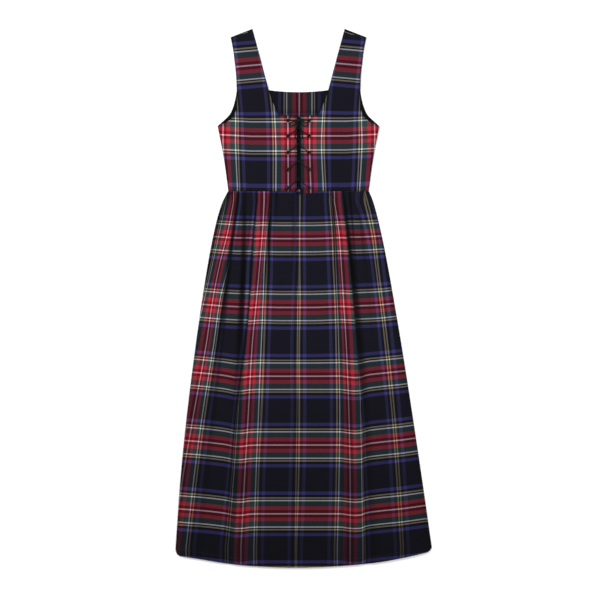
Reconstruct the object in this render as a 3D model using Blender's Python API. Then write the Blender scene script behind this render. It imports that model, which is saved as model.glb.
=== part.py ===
"""Sleeveless tartan pinafore dress with a laced front, laid flat on its back.

+X is the viewer's right, +Y runs towards the shoulders and +Z is up from the surface.
Garment sizes are measured three ways: x across from the centre front, fall below the
shoulder tips and drop below the waist seam. Tables are in millimetres, the rest in metres.
"""

import math
from collections import namedtuple

import bpy
from mathutils import Vector
from mathutils.geometry import delaunay_2d_cdt

MM = 0.001

# Main lengths
WAIST_FALL = 406 * MM
SKIRT_LENGTH = 940 * MM
SHOULDER_Y = (WAIST_FALL + SKIRT_LENGTH) / 2
CENTRE_X = -13 * MM

# Cloth walls and the gaps between pieces
CLOTH = 1.2 * MM
PLAIN_CLOTH = 1.0 * MM
SEAM_GAP = 0.3 * MM
PANEL_SPACING = 14 * MM
FLAT_SPACING = 45 * MM
EDGE_ROOM = 0.45
SHARP_ANGLE = math.radians(40)

# Heights of the stacked layers
BACK_TOP = CLOTH
FRONT_LOW = BACK_TOP + SEAM_GAP
UNDERLAY_TOP = FRONT_LOW + PLAIN_CLOTH
LACE_RADIUS = 1.1 * MM
LACE_UNDER_Z = UNDERLAY_TOP + SEAM_GAP + LACE_RADIUS
FRONT_HIGH = LACE_UNDER_Z + LACE_RADIUS + SEAM_GAP
FRONT_TOP = FRONT_HIGH + CLOTH

# Bodice
NECK_FALL = 216.5 * MM
BACK_NECK_FALL = 153 * MM
BACK_NECK_DIP = 5 * MM
SLIT_EDGES = (3.9 * MM, 5.3 * MM)
CORNER_DIP = 6 * MM
DIP_STARTS = (-6 * MM, 2.5 * MM)
DIP_ENDS = (22 * MM, 54 * MM)
CURVE_STEPS = 3
NECK_STEPS = 8

HalfWidth = namedtuple("HalfWidth", "fall half")
STRAP_INNER = (
    HalfWidth(0, 115.4),
    HalfWidth(75, 95.0),
    HalfWidth(153, 74.5),
    HalfWidth(186, 63.0),
    HalfWidth(216.5, 49.5),
)
STRAP_OUTER = (
    HalfWidth(21, 169.7),
    HalfWidth(52, 163.4),
    HalfWidth(82, 159.7),
    HalfWidth(115, 156.0),
    HalfWidth(154, 154.2),
)
FRONT_ARMHOLE = (
    HalfWidth(154, 154.2),
    HalfWidth(192, 154.5),
    HalfWidth(207, 157.5),
    HalfWidth(222, 166.0),
    HalfWidth(234, 181.5),
    HalfWidth(242.5, 202.0),
)
BACK_ARMHOLE = (
    HalfWidth(154, 154.2),
    HalfWidth(177, 158.2),
    HalfWidth(202, 165.8),
    HalfWidth(215, 172.7),
    HalfWidth(227, 184.4),
    HalfWidth(242.5, 202.0),
)
SIDE_SEAM = (
    HalfWidth(242.5, 202.0),
    HalfWidth(277, 195.3),
    HalfWidth(327, 186.0),
    HalfWidth(377, 179.0),
    HalfWidth(406, 175.2),
)
FACING_EDGE = (
    HalfWidth(154, 138.0),
    HalfWidth(200, 142.0),
    HalfWidth(222, 150.0),
    HalfWidth(236, 164.0),
    HalfWidth(246, 181.0),
    HalfWidth(256, 197.5),
)

# How the front bodice rises from its edges to the laced centre
STRAP_RISE = (90 * MM, 200 * MM)
OVER_FACING = 1.3 * MM
FACING_START = (112 * MM, 148 * MM)
FACING_END = (258 * MM, 295 * MM)
BODICE_SHOULDER = 0.8

# Black panel behind the slit
UNDERLAY_HALF = 42 * MM
UNDERLAY_FALLS = (221 * MM, 402 * MM)

# Skirt edges
SkirtRow = namedtuple("SkirtRow", "drop left right side_seam")
SKIRT = (
    SkirtRow(0, -176.2, 176.2, 162.0),
    SkirtRow(24, -188.5, 186.0, 168.5),
    SkirtRow(59, -200.5, 196.0, 177.5),
    SkirtRow(111, -213.0, 208.2, 187.0),
    SkirtRow(181, -226.3, 222.2, 195.0),
    SkirtRow(271, -240.8, 238.2, 206.3),
    SkirtRow(421, -261.8, 263.4, 223.7),
    SkirtRow(571, -280.3, 286.7, 238.0),
    SkirtRow(721, -295.1, 309.0, 249.3),
    SkirtRow(890, -307.0, 333.2, 258.5),
)
HemRow = namedtuple("HemRow", "x drop")
HEM = (
    HemRow(-307, 910),
    HemRow(-256, 917),
    HemRow(-166, 931.5),
    HemRow(-86, 938),
    HemRow(0, 940),
    HemRow(91, 937),
    HemRow(196, 927.5),
    HemRow(254, 917.5),
    HemRow(333, 899.5),
)
HEM_CORNER = 14 * MM
HEM_SIDE_DROP = 890 * MM
FRONT_SEAM_X = (2.5 * MM, -6.5 * MM)

# Folds that gather at the waist and run down the front of the skirt
Fold = namedtuple("Fold", "waist hip hem fades waist_width hem_width depth hem_depth")
OUTER_LEFT = Fold(-151, -179, -262, 560, 7, 18, 0.85, 0.3)
SMALL_LEFT = Fold(-134, -141, -160, 190, 5, 8, 0.5, 0.2)
LONG_LEFT = Fold(-105, -136, -175, 2000, 6, 24, 0.92, 0.5)
INNER_LEFT = Fold(-68, -79, -100, 360, 6, 11, 0.9, 0.3)
LONG_RIGHT = Fold(109, 134, 167, 2000, 6, 22, 0.95, 0.65)
SMALL_RIGHT = Fold(128, 146, 190, 110, 5, 7, 0.55, 0.2)
OUTER_RIGHT = Fold(148, 172, 226, 230, 6, 10, 0.65, 0.2)
FOLDS = (
    OUTER_LEFT,
    SMALL_LEFT,
    LONG_LEFT,
    INNER_LEFT,
    LONG_RIGHT,
    SMALL_RIGHT,
    OUTER_RIGHT,
)
HIP_DROP = 230
FOLD_GROWS = 18 * MM
FOLD_START = 0.5
FOLD_FADES_FROM = 0.45
LINE_SHARES = (0, 0.1, 0.22, 0.45, 0.7, 0.88)
SKIRT_ROWS = 27
ROW_GROWTH = 1.3
STEPS_UNDER = 13
STEPS_ROLL = 5
STEPS_OVER = 6
OVER_GROWTH = 1.4
WAIST_CREST = 3.6 * MM
HEM_CREST = 2.6 * MM
SIDE_SLOPE = 30 * MM
EDGE_ROLL = 0.75 * MM

# Eyelets
EYELET_X = 26 * MM
EYELET_FALLS = (229 * MM, 268 * MM, 309 * MM, 352 * MM, 398 * MM)
EYELET_HOLE = 3.2 * MM
EYELET_BARREL = 2.9 * MM
EYELET_BORE = 2.2 * MM
EYELET_RIM = 4.6 * MM
EYELET_THICK = 0.6 * MM
EYELET_SIDES = 12

# Lace
LACE_OVER_Z = FRONT_TOP + SEAM_GAP + LACE_RADIUS
LACE_RIM_Z = LACE_OVER_Z + EYELET_THICK + SEAM_GAP
KNOT_FALL = 229.5 * MM
KNOT_Z = 9.4 * MM
KNOT_SIZE = (5.5 * MM, 5.5 * MM, 2.4 * MM)
BAR_JOIN_X = 22 * MM
BAR_STEP = 15 * MM
KNOT_REACH = 0.6
KNOT_RINGS = 6
KNOT_SIDES = 12
STRAND_CLEARANCE = 0.4 * MM
BEVEL_STEPS = 2
ROUTE_STEPS = 2

# Heights of the lace at distances (mm) from an eyelet's centre: below the panel and above it
LaceHeight = namedtuple("LaceHeight", "away z")
CLIMB = (
    LaceHeight(2.6, LACE_UNDER_Z),
    LaceHeight(1.0, LACE_UNDER_Z + 0.15 * MM),
    LaceHeight(0.0, LACE_UNDER_Z + LACE_RADIUS),
)
DRAPE = (
    LaceHeight(0.0, FRONT_TOP + 0.7 * MM),
    LaceHeight(0.3, LACE_OVER_Z + 0.2 * MM),
    LaceHeight(1.3, LACE_RIM_Z),
    LaceHeight(3.2, LACE_RIM_Z),
)

# Colours
BLACK_CLOTH = (0.012, 0.012, 0.014)
TARTAN_FRONT = (0.09, 0.05, 0.06)
TARTAN_BACK = (0.06, 0.05, 0.07)
LACE_BLACK = (0.015, 0.015, 0.016)
DARK_METAL = (0.12, 0.10, 0.09)


def clear_scene():
    for item in list(bpy.data.objects):
        bpy.data.objects.remove(item, do_unlink=True)


def plain_material(name, colour, roughness=0.9, metallic=0.0):
    material = bpy.data.materials.new(name)
    material.use_nodes = True
    shader = material.node_tree.nodes["Principled BSDF"]
    shader.inputs["Base Color"].default_value = (*colour, 1.0)
    shader.inputs["Roughness"].default_value = roughness
    shader.inputs["Metallic"].default_value = metallic
    return material


def world(x, fall, z):
    """Garment measures to world coordinates."""
    return Vector((x + CENTRE_X, SHOULDER_Y - fall, z))


def clamp(value):
    return min(1.0, max(0.0, value))


def ease(start, end, value):
    """0 before start, 1 after end and a smooth step between."""
    part = clamp((value - start) / (end - start))
    return part * part * (3 - 2 * part)


def mix(first, second, part):
    return first + (second - first) * part


def read_table(rows, key, column, value):
    """A column of a table at any value of its key column, on a smooth curve through the rows."""
    keys = [getattr(row, key) * MM for row in rows]
    heights = [getattr(row, column) * MM for row in rows]
    last = len(keys) - 1
    value = min(max(value, keys[0]), keys[last])
    slopes = [(heights[k + 1] - heights[k]) / (keys[k + 1] - keys[k]) for k in range(last)]
    tangents = [slopes[0]] + [(slopes[k - 1] + slopes[k]) / 2 for k in range(1, last)] + [slopes[-1]]
    span = max(k for k in range(last) if keys[k] <= value)
    width = keys[span + 1] - keys[span]
    t = (value - keys[span]) / width
    return (
        heights[span] * (2 * t ** 3 - 3 * t ** 2 + 1)
        + tangents[span] * width * (t ** 3 - 2 * t ** 2 + t)
        + heights[span + 1] * (3 * t ** 2 - 2 * t ** 3)
        + tangents[span + 1] * width * (t ** 3 - t ** 2)
    )


def edge_points(rows):
    """Points (x, fall) down a smooth edge, with CURVE_STEPS to each row of its table."""
    points = []
    for above, below in zip(rows, rows[1:]):
        for step in range(CURVE_STEPS):
            fall = mix(above.fall, below.fall, step / CURVE_STEPS) * MM
            points.append((read_table(rows, "fall", "half", fall), fall))
    points.append((rows[-1].half * MM, rows[-1].fall * MM))
    return points


# Closed walls

def add_mesh(name, points, faces, material):
    mesh = bpy.data.meshes.new(name)
    mesh.from_pydata(points, [], faces)
    mesh.materials.append(material)
    mesh.shade_smooth()
    mesh.set_sharp_from_angle(angle=SHARP_ANGLE)
    piece = bpy.data.objects.new(name, mesh)
    bpy.context.collection.objects.link(piece)
    return piece


def close_wall(name, outer, inner, faces, material):
    """A wall between two matching sheets of points; faces wind outward on the outer sheet."""
    count = len(outer)
    edges = set()
    for face in faces:
        edges.update(zip(face, face[1:] + face[:1]))
    rim = [edge for edge in edges if (edge[1], edge[0]) not in edges]
    walls = [(b, a, a + count, b + count) for a, b in sorted(rim)]
    inside = [tuple(count + k for k in reversed(face)) for face in faces]
    return add_mesh(name, outer + inner, faces + inside + walls, material)


def signed_area(loop):
    return sum(a[0] * b[1] - b[0] * a[1] for a, b in zip(loop, loop[1:] + loop[:1])) / 2


def inside_loop(point, loop):
    inside = False
    for a, b in zip(loop, loop[1:] + loop[:1]):
        if (a[1] > point[1]) != (b[1] > point[1]):
            cross = a[0] + (point[1] - a[1]) / (b[1] - a[1]) * (b[0] - a[0])
            inside ^= point[0] < cross
    return inside


def room_to_loop(point, loop):
    """Distance from a point to the nearest stretch of a closed loop."""
    here = Vector(point)
    nearest = math.inf
    for a, b in zip(loop, loop[1:] + loop[:1]):
        start, run = Vector(a), Vector(b) - Vector(a)
        part = clamp((here - start).dot(run) / run.length_squared)
        nearest = min(nearest, (here - start - run * part).length)
    return nearest


def cut_cloth(outline, holes, spacing):
    """Flat points and triangles of a cut piece, with inner points on a staggered grid."""
    loops = [outline] + holes
    low = [min(point[axis] for point in outline) for axis in (0, 1)]
    high = [max(point[axis] for point in outline) for axis in (0, 1)]
    row_step = spacing * math.sqrt(0.75)
    inner = []
    for row in range(int((high[1] - low[1]) / row_step) + 1):
        stagger = spacing * 0.5 * (row % 2)
        for column in range(int((high[0] - low[0]) / spacing) + 1):
            spot = (low[0] + column * spacing + stagger, low[1] + row * row_step)
            clear = all(room_to_loop(spot, loop) > spacing * EDGE_ROOM for loop in loops)
            if clear and inside_loop(spot, outline):
                inner.append(spot)
    points, edges = [], []
    for loop in loops:
        first = len(points)
        points += loop
        edges += [(first + k, first + (k + 1) % len(loop)) for k in range(len(loop))]
    flat = [Vector(point) for point in points + inner]
    found, _, faces, *_ = delaunay_2d_cdt(flat, edges, [], 0, 1e-7)
    kept = []
    for face in faces:
        middle = [sum(found[k][axis] for k in face) / 3 for axis in (0, 1)]
        if inside_loop(middle, outline) and not any(inside_loop(middle, hole) for hole in holes):
            corners = [found[k] for k in face]
            turn = signed_area(corners)
            kept.append(tuple(face) if turn < 0 else tuple(reversed(face)))
    return [tuple(point) for point in found], kept


def panel(name, outline, underside, thickness, material, holes=(), spacing=PANEL_SPACING):
    """A cut piece of cloth whose underside follows a height function of (x, fall)."""
    flat, faces = cut_cloth(outline, list(holes), spacing)
    low = [world(x, fall, underside(x, fall)) for x, fall in flat]
    high = [point + Vector((0, 0, thickness)) for point in low]
    return close_wall(name, high, low, faces, material)


# Bodice

def front_half_width(fall):
    rows = STRAP_OUTER[:-1] + FRONT_ARMHOLE[:-1] + SIDE_SEAM
    return read_table(rows, "fall", "half", fall)


def bodice_underside(x, fall):
    """Height of the front bodice's underside, high behind the lacing and low at the sides."""
    facing = ease(*FACING_START, fall) * (1 - ease(*FACING_END, fall))
    low = FRONT_LOW + OVER_FACING * facing
    across = abs(x) / front_half_width(fall)
    crown = ease(*STRAP_RISE, fall) * (1 - ease(BODICE_SHOULDER, 1.0, across))
    return mix(low, FRONT_HIGH, crown)


def waist_dip(x):
    """The right front hangs a little lower beside the slit."""
    return CORNER_DIP * ease(*DIP_STARTS, x) * (1 - ease(*DIP_ENDS, x))


def slit_edge(side):
    """Distance of a front's slit edge from the centre; the slit lies a little to the viewer's right."""
    return SLIT_EDGES[0] if side < 0 else SLIT_EDGES[1]


def waist_edge(side):
    """The front bodice's lower edge from side seam to slit, with a point at each line of the skirt."""
    slit, seam = slit_edge(side), SIDE_SEAM[-1].half * MM
    tops = [abs(line(0)) for line in skirt_lines(side)]
    spots = [seam] + sorted((x for x in tops if slit < x < seam), reverse=True) + [slit]
    return [(side * x, WAIST_FALL + waist_dip(side * x)) for x in spots]


def mirrored(points, side):
    return [(x * side, fall) for x, fall in points]


def round_hole(x, fall):
    turns = [math.tau * k / EYELET_SIDES for k in range(EYELET_SIDES)]
    return [(x + EYELET_HOLE * math.cos(a), fall + EYELET_HOLE * math.sin(a)) for a in turns]


def front_outline(side):
    """Half a front bodice with its strap: neck, strap, armhole, side seam and waist."""
    strap = list(reversed(edge_points(STRAP_INNER)))
    armhole = edge_points(FRONT_ARMHOLE)[:-1]
    outside = edge_points(STRAP_OUTER)[:-1] + armhole + edge_points(SIDE_SEAM)[:-1]
    return mirrored([(slit_edge(side), NECK_FALL)] + strap + outside, side) + waist_edge(side)


def make_bodice_front(name, side, material):
    holes = [round_hole(side * EYELET_X, fall) for fall in EYELET_FALLS]
    return panel(name, front_outline(side), bodice_underside, CLOTH, material, holes)


def back_outline():
    strap = list(reversed(edge_points(STRAP_INNER[:3])))
    outside = edge_points(STRAP_OUTER)[:-1] + edge_points(BACK_ARMHOLE)[:-1] + edge_points(SIDE_SEAM)
    half = strap + outside
    neck = []
    for k in range(1, NECK_STEPS):
        part = 1 - 2 * k / NECK_STEPS
        dip = BACK_NECK_DIP * (1 - part * part)
        neck.append((-part * STRAP_INNER[2].half * MM, BACK_NECK_FALL + dip))
    return half + list(reversed(mirrored(half, -1))) + neck


def on_surface(x, fall):
    return 0.0


def on_back(x, fall):
    return FRONT_LOW


def make_bodice_back(material):
    outline = back_outline()
    return panel("bodice_back", outline, on_surface, CLOTH, material, spacing=FLAT_SPACING)


def make_facing(name, side, material):
    """Black strip inside the back armhole, which shows past the front's deeper cut."""
    outer = [(x - SEAM_GAP, fall) for x, fall in edge_points(BACK_ARMHOLE)]
    inner = list(reversed(edge_points(FACING_EDGE)))
    outline = mirrored(outer + inner, side)
    return panel(name, outline, on_back, PLAIN_CLOTH, material, spacing=FLAT_SPACING)


def make_underlay(material):
    half = UNDERLAY_HALF
    top, bottom = UNDERLAY_FALLS
    corners = [(-half, top), (half, top), (half, bottom), (-half, bottom)]
    return panel("lacing_underlay", corners, on_back, PLAIN_CLOTH, material, spacing=FLAT_SPACING)


# Skirt

def skirt_edge(column, drop):
    return read_table(SKIRT, "drop", column, drop)


def front_seam(drop):
    return mix(*FRONT_SEAM_X, drop / SKIRT_LENGTH)


def hem_drop(x):
    """Drop of the hem at x, with its two corners rounded off."""
    left, right = skirt_edge("left", HEM_SIDE_DROP), skirt_edge("right", HEM_SIDE_DROP)
    inset = clamp(min(x - left, right - x) / HEM_CORNER)
    lift = HEM_CORNER * (1 - math.sqrt(1 - (1 - inset) ** 2))
    return read_table(HEM, "x", "drop", x) - lift


def fold_centre(fold, drop):
    """The fold's x on a parabola through its waist, hip and hem values."""
    at = drop / MM
    end = SKIRT_LENGTH / MM
    waist = fold.waist * (at - HIP_DROP) * (at - end) / (HIP_DROP * end)
    hip = fold.hip * at * (at - end) / (HIP_DROP * (HIP_DROP - end))
    hem = fold.hem * at * (at - HIP_DROP) / (end * (end - HIP_DROP))
    return (waist + hip + hem) * MM


def fold_cut(fold, x, drop):
    """Share of the cloth's rise that a fold takes away at a point."""
    down = drop / SKIRT_LENGTH
    width = mix(fold.waist_width, fold.hem_width, down) * MM
    offset = abs(x - fold_centre(fold, drop)) / width
    if offset >= 1:
        return 0.0
    growth = mix(FOLD_START, 1.0, ease(0, FOLD_GROWS, drop))
    fade = 1 - ease(FOLD_FADES_FROM * fold.fades * MM, fold.fades * MM, drop)
    depth = mix(fold.depth, fold.hem_depth, down)
    return depth * growth * fade * (0.5 + 0.5 * math.cos(math.pi * offset))


def skirt_underside(x, drop):
    """Height of the skirt front's underside: a low crown with the folds pressed into it."""
    inset = min(x - skirt_edge("left", drop), skirt_edge("right", drop) - x)
    rise = mix(WAIST_CREST, HEM_CREST, drop / SKIRT_LENGTH) * ease(0, SIDE_SLOPE, inset)
    for fold in FOLDS:
        rise *= 1 - fold_cut(fold, x, drop)
    return FRONT_LOW + rise


def row_parts():
    """Parts of the skirt's length from 0 to 1, closer together at the waist."""
    return [(row / (SKIRT_ROWS - 1)) ** ROW_GROWTH for row in range(SKIRT_ROWS)]


def grid_faces(columns, flip):
    faces = []
    for column in range(columns - 1):
        for row in range(SKIRT_ROWS - 1):
            a = column * SKIRT_ROWS + row
            face = (a, a + 1, a + SKIRT_ROWS + 1, a + SKIRT_ROWS)
            faces.append(tuple(reversed(face)) if flip else face)
    return faces


def skirt_guides(side):
    """Edges and main folds of a front skirt panel, from the viewer's left to right."""
    if side < 0:
        return [
            lambda drop: skirt_edge("left", drop),
            lambda drop: fold_centre(OUTER_LEFT, drop),
            lambda drop: fold_centre(LONG_LEFT, drop),
            lambda drop: fold_centre(INNER_LEFT, drop),
            lambda drop: front_seam(drop) - SEAM_GAP / 2,
        ]
    return [
        lambda drop: front_seam(drop) + SEAM_GAP / 2,
        lambda drop: fold_centre(LONG_RIGHT, drop),
        lambda drop: skirt_edge("side_seam", drop),
    ]


def skirt_lines(side):
    """Lines down a front panel: each guide, and some shares of the way from it to the next."""
    guides = skirt_guides(side)
    lines = []
    for before, after in zip(guides, guides[1:]):
        for share in LINE_SHARES:
            lines.append(lambda drop, a=before, b=after, s=share: mix(a(drop), b(drop), s))
    lines.append(guides[-1])
    return lines


def make_skirt_front(name, side, material):
    """A front skirt panel on lines that follow its folds from waist to hem."""
    lines = skirt_lines(side)
    low = []
    for line in lines:
        top = waist_dip(line(0)) + SEAM_GAP
        bottom = hem_drop(line(HEM_SIDE_DROP))
        for part in row_parts():
            drop = mix(top, bottom, part)
            low.append(world(line(drop), WAIST_FALL + drop, skirt_underside(line(drop), drop)))
    high = [point + Vector((0, 0, CLOTH)) for point in low]
    return close_wall(name, high, low, grid_faces(len(lines), False), material)


def back_section(part):
    """One row of the back panel: flat under the dress, round its right edge and back on top."""
    reach = EDGE_ROLL + CLOTH / 2
    outer, inner = [], []

    def drop_at(hem_x):
        return mix(SEAM_GAP, hem_drop(hem_x), part)

    hem_left, hem_right = skirt_edge("left", HEM_SIDE_DROP), skirt_edge("right", HEM_SIDE_DROP) - reach
    for k in range(STEPS_UNDER + 1):
        share = (1 - math.cos(math.pi * k / STEPS_UNDER)) / 2
        drop = drop_at(mix(hem_left, hem_right, share))
        x = mix(skirt_edge("left", drop), skirt_edge("right", drop) - reach, share)
        outer.append(world(x, WAIST_FALL + drop, 0.0))
        inner.append(world(x, WAIST_FALL + drop, CLOTH))
    drop = drop_at(hem_right)
    middle = world(skirt_edge("right", drop) - reach, WAIST_FALL + drop, reach)
    for k in range(1, STEPS_ROLL):
        turn = math.pi * k / STEPS_ROLL - math.pi / 2
        arm = Vector((math.cos(turn), 0, math.sin(turn)))
        outer.append(middle + arm * reach)
        inner.append(middle + arm * (reach - CLOTH))
    hem_seam = skirt_edge("side_seam", HEM_SIDE_DROP)
    for k in range(STEPS_OVER + 1):
        share = (k / STEPS_OVER) ** OVER_GROWTH
        drop = drop_at(mix(hem_right, hem_seam, share))
        seam = skirt_edge("side_seam", drop) + SEAM_GAP
        x = mix(skirt_edge("right", drop) - reach, seam, share)
        low = skirt_underside(x, drop)
        outer.append(world(x, WAIST_FALL + drop, low + CLOTH))
        inner.append(world(x, WAIST_FALL + drop, low))
    return outer, inner


def make_skirt_back(material):
    sections = [back_section(part) for part in row_parts()]
    columns = len(sections[0][0])
    outer = [section[0][k] for k in range(columns) for section in sections]
    inner = [section[1][k] for k in range(columns) for section in sections]
    return close_wall("skirt_back", outer, inner, grid_faces(columns, True), material)


def make_skirt(material, back_material):
    make_skirt_front("skirt_front_left", -1, material)
    make_skirt_front("skirt_front_right", 1, material)
    make_skirt_back(back_material)


# Eyelets and lace

def make_eyelet(name, x, fall, material):
    """A turned ring: a barrel through the panel's hole and a rim that lies on the cloth."""
    rim_z = FRONT_TOP + SEAM_GAP
    profile = (
        (EYELET_BORE, FRONT_HIGH),
        (EYELET_BARREL, FRONT_HIGH),
        (EYELET_BARREL, rim_z),
        (EYELET_RIM, rim_z),
        (EYELET_RIM - EYELET_THICK, rim_z + EYELET_THICK),
        (EYELET_BORE, rim_z + EYELET_THICK),
    )
    points, faces = [], []
    count = len(profile)
    for side in range(EYELET_SIDES):
        turn = math.tau * side / EYELET_SIDES
        for radius, z in profile:
            points.append(world(x + radius * math.cos(turn), fall + radius * math.sin(turn), z))
        after = (side + 1) % EYELET_SIDES
        for k in range(count):
            near, far = side * count, after * count
            faces.append((near + k, near + (k + 1) % count, far + (k + 1) % count, far + k))
    return add_mesh(name, points, faces, material)


def make_tube(name, points, material):
    """A round lace along points (x, fall, z)."""
    curve = bpy.data.curves.new(name, "CURVE")
    curve.dimensions = "3D"
    curve.bevel_depth = LACE_RADIUS
    curve.bevel_resolution = BEVEL_STEPS
    curve.use_fill_caps = True
    spline = curve.splines.new("POLY")
    spline.points.add(len(points) - 1)
    for spot, point in zip(spline.points, points):
        spot.co = (*world(*point), 1.0)
    curve.materials.append(material)
    piece = bpy.data.objects.new(name, curve)
    bpy.context.collection.objects.link(piece)
    return piece


def smooth_route(points):
    """A smooth curve through the route's own points."""
    spots = [Vector(point) for point in points]
    spots = [spots[0] * 2 - spots[1]] + spots + [spots[-1] * 2 - spots[-2]]
    route = []
    for a, b, c, d in zip(spots, spots[1:], spots[2:], spots[3:]):
        for step in range(ROUTE_STEPS):
            t = step / ROUTE_STEPS
            bend = 2 * a - 5 * b + 4 * c - d
            twist = 3 * b - 3 * c + d - a
            route.append((2 * b + (c - a) * t + bend * t * t + twist * t ** 3) / 2)
    route.append(spots[-2])
    return [tuple(spot) for spot in route]


def beside(spot, direction, away):
    return spot[0] + direction[0] * away * MM, spot[1] + direction[1] * away * MM


def through_eyelet(spot, arriving, leaving):
    """Route up through an eyelet, from under the panel to over the rim."""
    below = [(*beside(spot, arriving, -row.away), row.z) for row in CLIMB]
    above = [(*beside(spot, leaving, row.away), row.z) for row in DRAPE]
    return below + above


def across_slit(start, end, middle_z):
    """Route over the first panel, across the slit and under the second, as (part, z) levels."""
    side = 1 if start[0] > 0 else -1
    width = 2 * EYELET_X
    before, after = slit_edge(side) / width, slit_edge(-side) / width
    levels = (
        (0.16, LACE_RIM_Z - SEAM_GAP),
        (0.26, LACE_OVER_Z),
        (0.5 - 1.25 * before, LACE_OVER_Z),
        (0.5 - 0.88 * before, mix(LACE_OVER_Z, middle_z, 0.06)),
        (0.5 - 0.4 * before, mix(LACE_OVER_Z, middle_z, 0.84)),
        (0.5 + 0.15 * after, middle_z),
        (0.5 + 0.82 * after, LACE_UNDER_Z + 1.3 * SEAM_GAP),
        (0.5 + 1.25 * after, LACE_UNDER_Z),
        (0.8, LACE_UNDER_Z),
    )
    return [(mix(start[0], end[0], part), mix(start[1], end[1], part), z) for part, z in levels]


def unit(start, end):
    run = Vector((end[0] - start[0], end[1] - start[1])).normalized()
    return (run.x, run.y)


def make_strand(name, first_side, crossing_z, material):
    """Half of the lace, from the bar behind the lowest eyelets up to the knot."""
    stops = []
    side = first_side
    for fall in reversed(EYELET_FALLS):
        stops.append((side * EYELET_X, fall))
        side = -side
    bar_x = BAR_JOIN_X if first_side < 0 else BAR_JOIN_X + SEAM_GAP
    bar = (bar_x, EYELET_FALLS[-1])
    knot = (first_side * (KNOT_SIZE[0] + SEAM_GAP), EYELET_FALLS[0])
    route = [(*bar, LACE_UNDER_Z)]
    if first_side < 0:
        route += [(bar_x - BAR_STEP * k, bar[1], LACE_UNDER_Z) for k in (1, 2)]
    before = bar
    for k, stop in enumerate(stops):
        after = stops[k + 1] if k + 1 < len(stops) else knot
        route += through_eyelet(stop, unit(before, stop), unit(stop, after))
        if after is not knot:
            route += across_slit(stop, after, crossing_z)
        before = stop
    route.append((mix(stops[-1][0], knot[0], KNOT_REACH), knot[1], LACE_RIM_Z))
    route.append((*knot, KNOT_Z))
    return make_tube(name, route, material)


def make_knot(material):
    points, faces = [], []
    rings, sides = KNOT_RINGS, KNOT_SIDES
    for ring in range(1, rings):
        tilt = math.pi * ring / rings
        for side in range(sides):
            turn = math.tau * side / sides
            arm = (math.sin(tilt) * math.cos(turn), math.sin(tilt) * math.sin(turn), math.cos(tilt))
            x, y, z = (arm[axis] * KNOT_SIZE[axis] for axis in range(3))
            points.append(world(x, KNOT_FALL - y, KNOT_Z + z))
    points += [world(0, KNOT_FALL, KNOT_Z + KNOT_SIZE[2]), world(0, KNOT_FALL, KNOT_Z - KNOT_SIZE[2])]
    top, bottom = len(points) - 2, len(points) - 1
    for side in range(sides):
        after = (side + 1) % sides
        faces.append((top, side, after))
        last = (rings - 2) * sides
        faces.append((bottom, last + after, last + side))
        for ring in range(rings - 2):
            a, b = ring * sides, (ring + 1) * sides
            faces.append((a + side, b + side, b + after, a + after))
    return add_mesh("lace_knot", points, faces, material)


# Routes of the bow's loop and the two free ends, as (x, fall, z) in millimetres
LOOP_ROUTE = (
    (-5.4, 231.8, 9.4),
    (-10.0, 232.2, 9.0),
    (-15.5, 232.8, 8.3),
    (-20.6, 234.6, 7.95),
    (-23.6, 238.6, 7.9),
    (-21.4, 242.8, 7.9),
    (-16.4, 243.2, 7.9),
    (-11.0, 240.8, 8.1),
    (-7.0, 237.4, 8.8),
    (-4.0, 234.0, 9.4),
)
LEFT_END_ROUTE = (
    (-1.6, 235.3, 9.4),
    (-2.4, 240.2, 9.4),
    (-4.3, 246.2, 10.2),
    (-6.3, 252.6, 10.8),
    (-7.6, 259.2, 9.7),
    (-8.4, 266.0, 8.2),
    (-8.3, 274.0, 7.9),
    (-8.2, 282.0, 7.9),
    (-8.6, 288.5, 7.9),
)
RIGHT_END_ROUTE = (
    (1.6, 235.3, 9.4),
    (2.6, 240.6, 9.4),
    (4.7, 246.6, 10.2),
    (6.6, 253.0, 10.8),
    (8.0, 259.4, 9.7),
    (8.9, 266.0, 8.2),
    (9.8, 273.0, 7.9),
    (11.0, 281.0, 7.9),
    (11.7, 287.5, 7.9),
)


def in_metres(route, side=1):
    return [(side * x * MM, fall * MM, z * MM) for x, fall, z in route]


def make_lacing(lace, metal):
    for side, word in ((-1, "left"), (1, "right")):
        for k, fall in enumerate(EYELET_FALLS, start=1):
            make_eyelet(f"eyelet_{word}_{k}", side * EYELET_X, fall, metal)
    crossing_under = LACE_OVER_Z - 2 * LACE_RADIUS - STRAND_CLEARANCE
    make_strand("lace_strand_left", -1, LACE_OVER_Z, lace)
    make_strand("lace_strand_right", 1, crossing_under, lace)
    make_knot(lace)
    make_tube("lace_loop_left", smooth_route(in_metres(LOOP_ROUTE)), lace)
    make_tube("lace_loop_right", smooth_route(in_metres(LOOP_ROUTE, -1)), lace)
    make_tube("lace_end_left", smooth_route(in_metres(LEFT_END_ROUTE)), lace)
    make_tube("lace_end_right", smooth_route(in_metres(RIGHT_END_ROUTE)), lace)


def main():
    clear_scene()
    front = plain_material("tartan_front", TARTAN_FRONT)
    back = plain_material("tartan_back", TARTAN_BACK)
    plain = plain_material("black_cloth", BLACK_CLOTH)
    lace = plain_material("lace_black", LACE_BLACK, roughness=0.8)
    metal = plain_material("dark_metal", DARK_METAL, roughness=0.4, metallic=0.9)
    make_bodice_back(back)
    make_facing("armhole_facing_left", -1, plain)
    make_facing("armhole_facing_right", 1, plain)
    make_underlay(plain)
    make_bodice_front("bodice_front_left", -1, front)
    make_bodice_front("bodice_front_right", 1, front)
    make_skirt(front, back)
    make_lacing(lace, metal)


main()
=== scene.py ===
"""Looks of the laced tartan dress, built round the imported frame.

Lengths are in metres. Garment places are x across from the centre front, fall below the
shoulder tips and drop below the waist seam, as in the part's source. Tables are in millimetres.
"""

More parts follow.
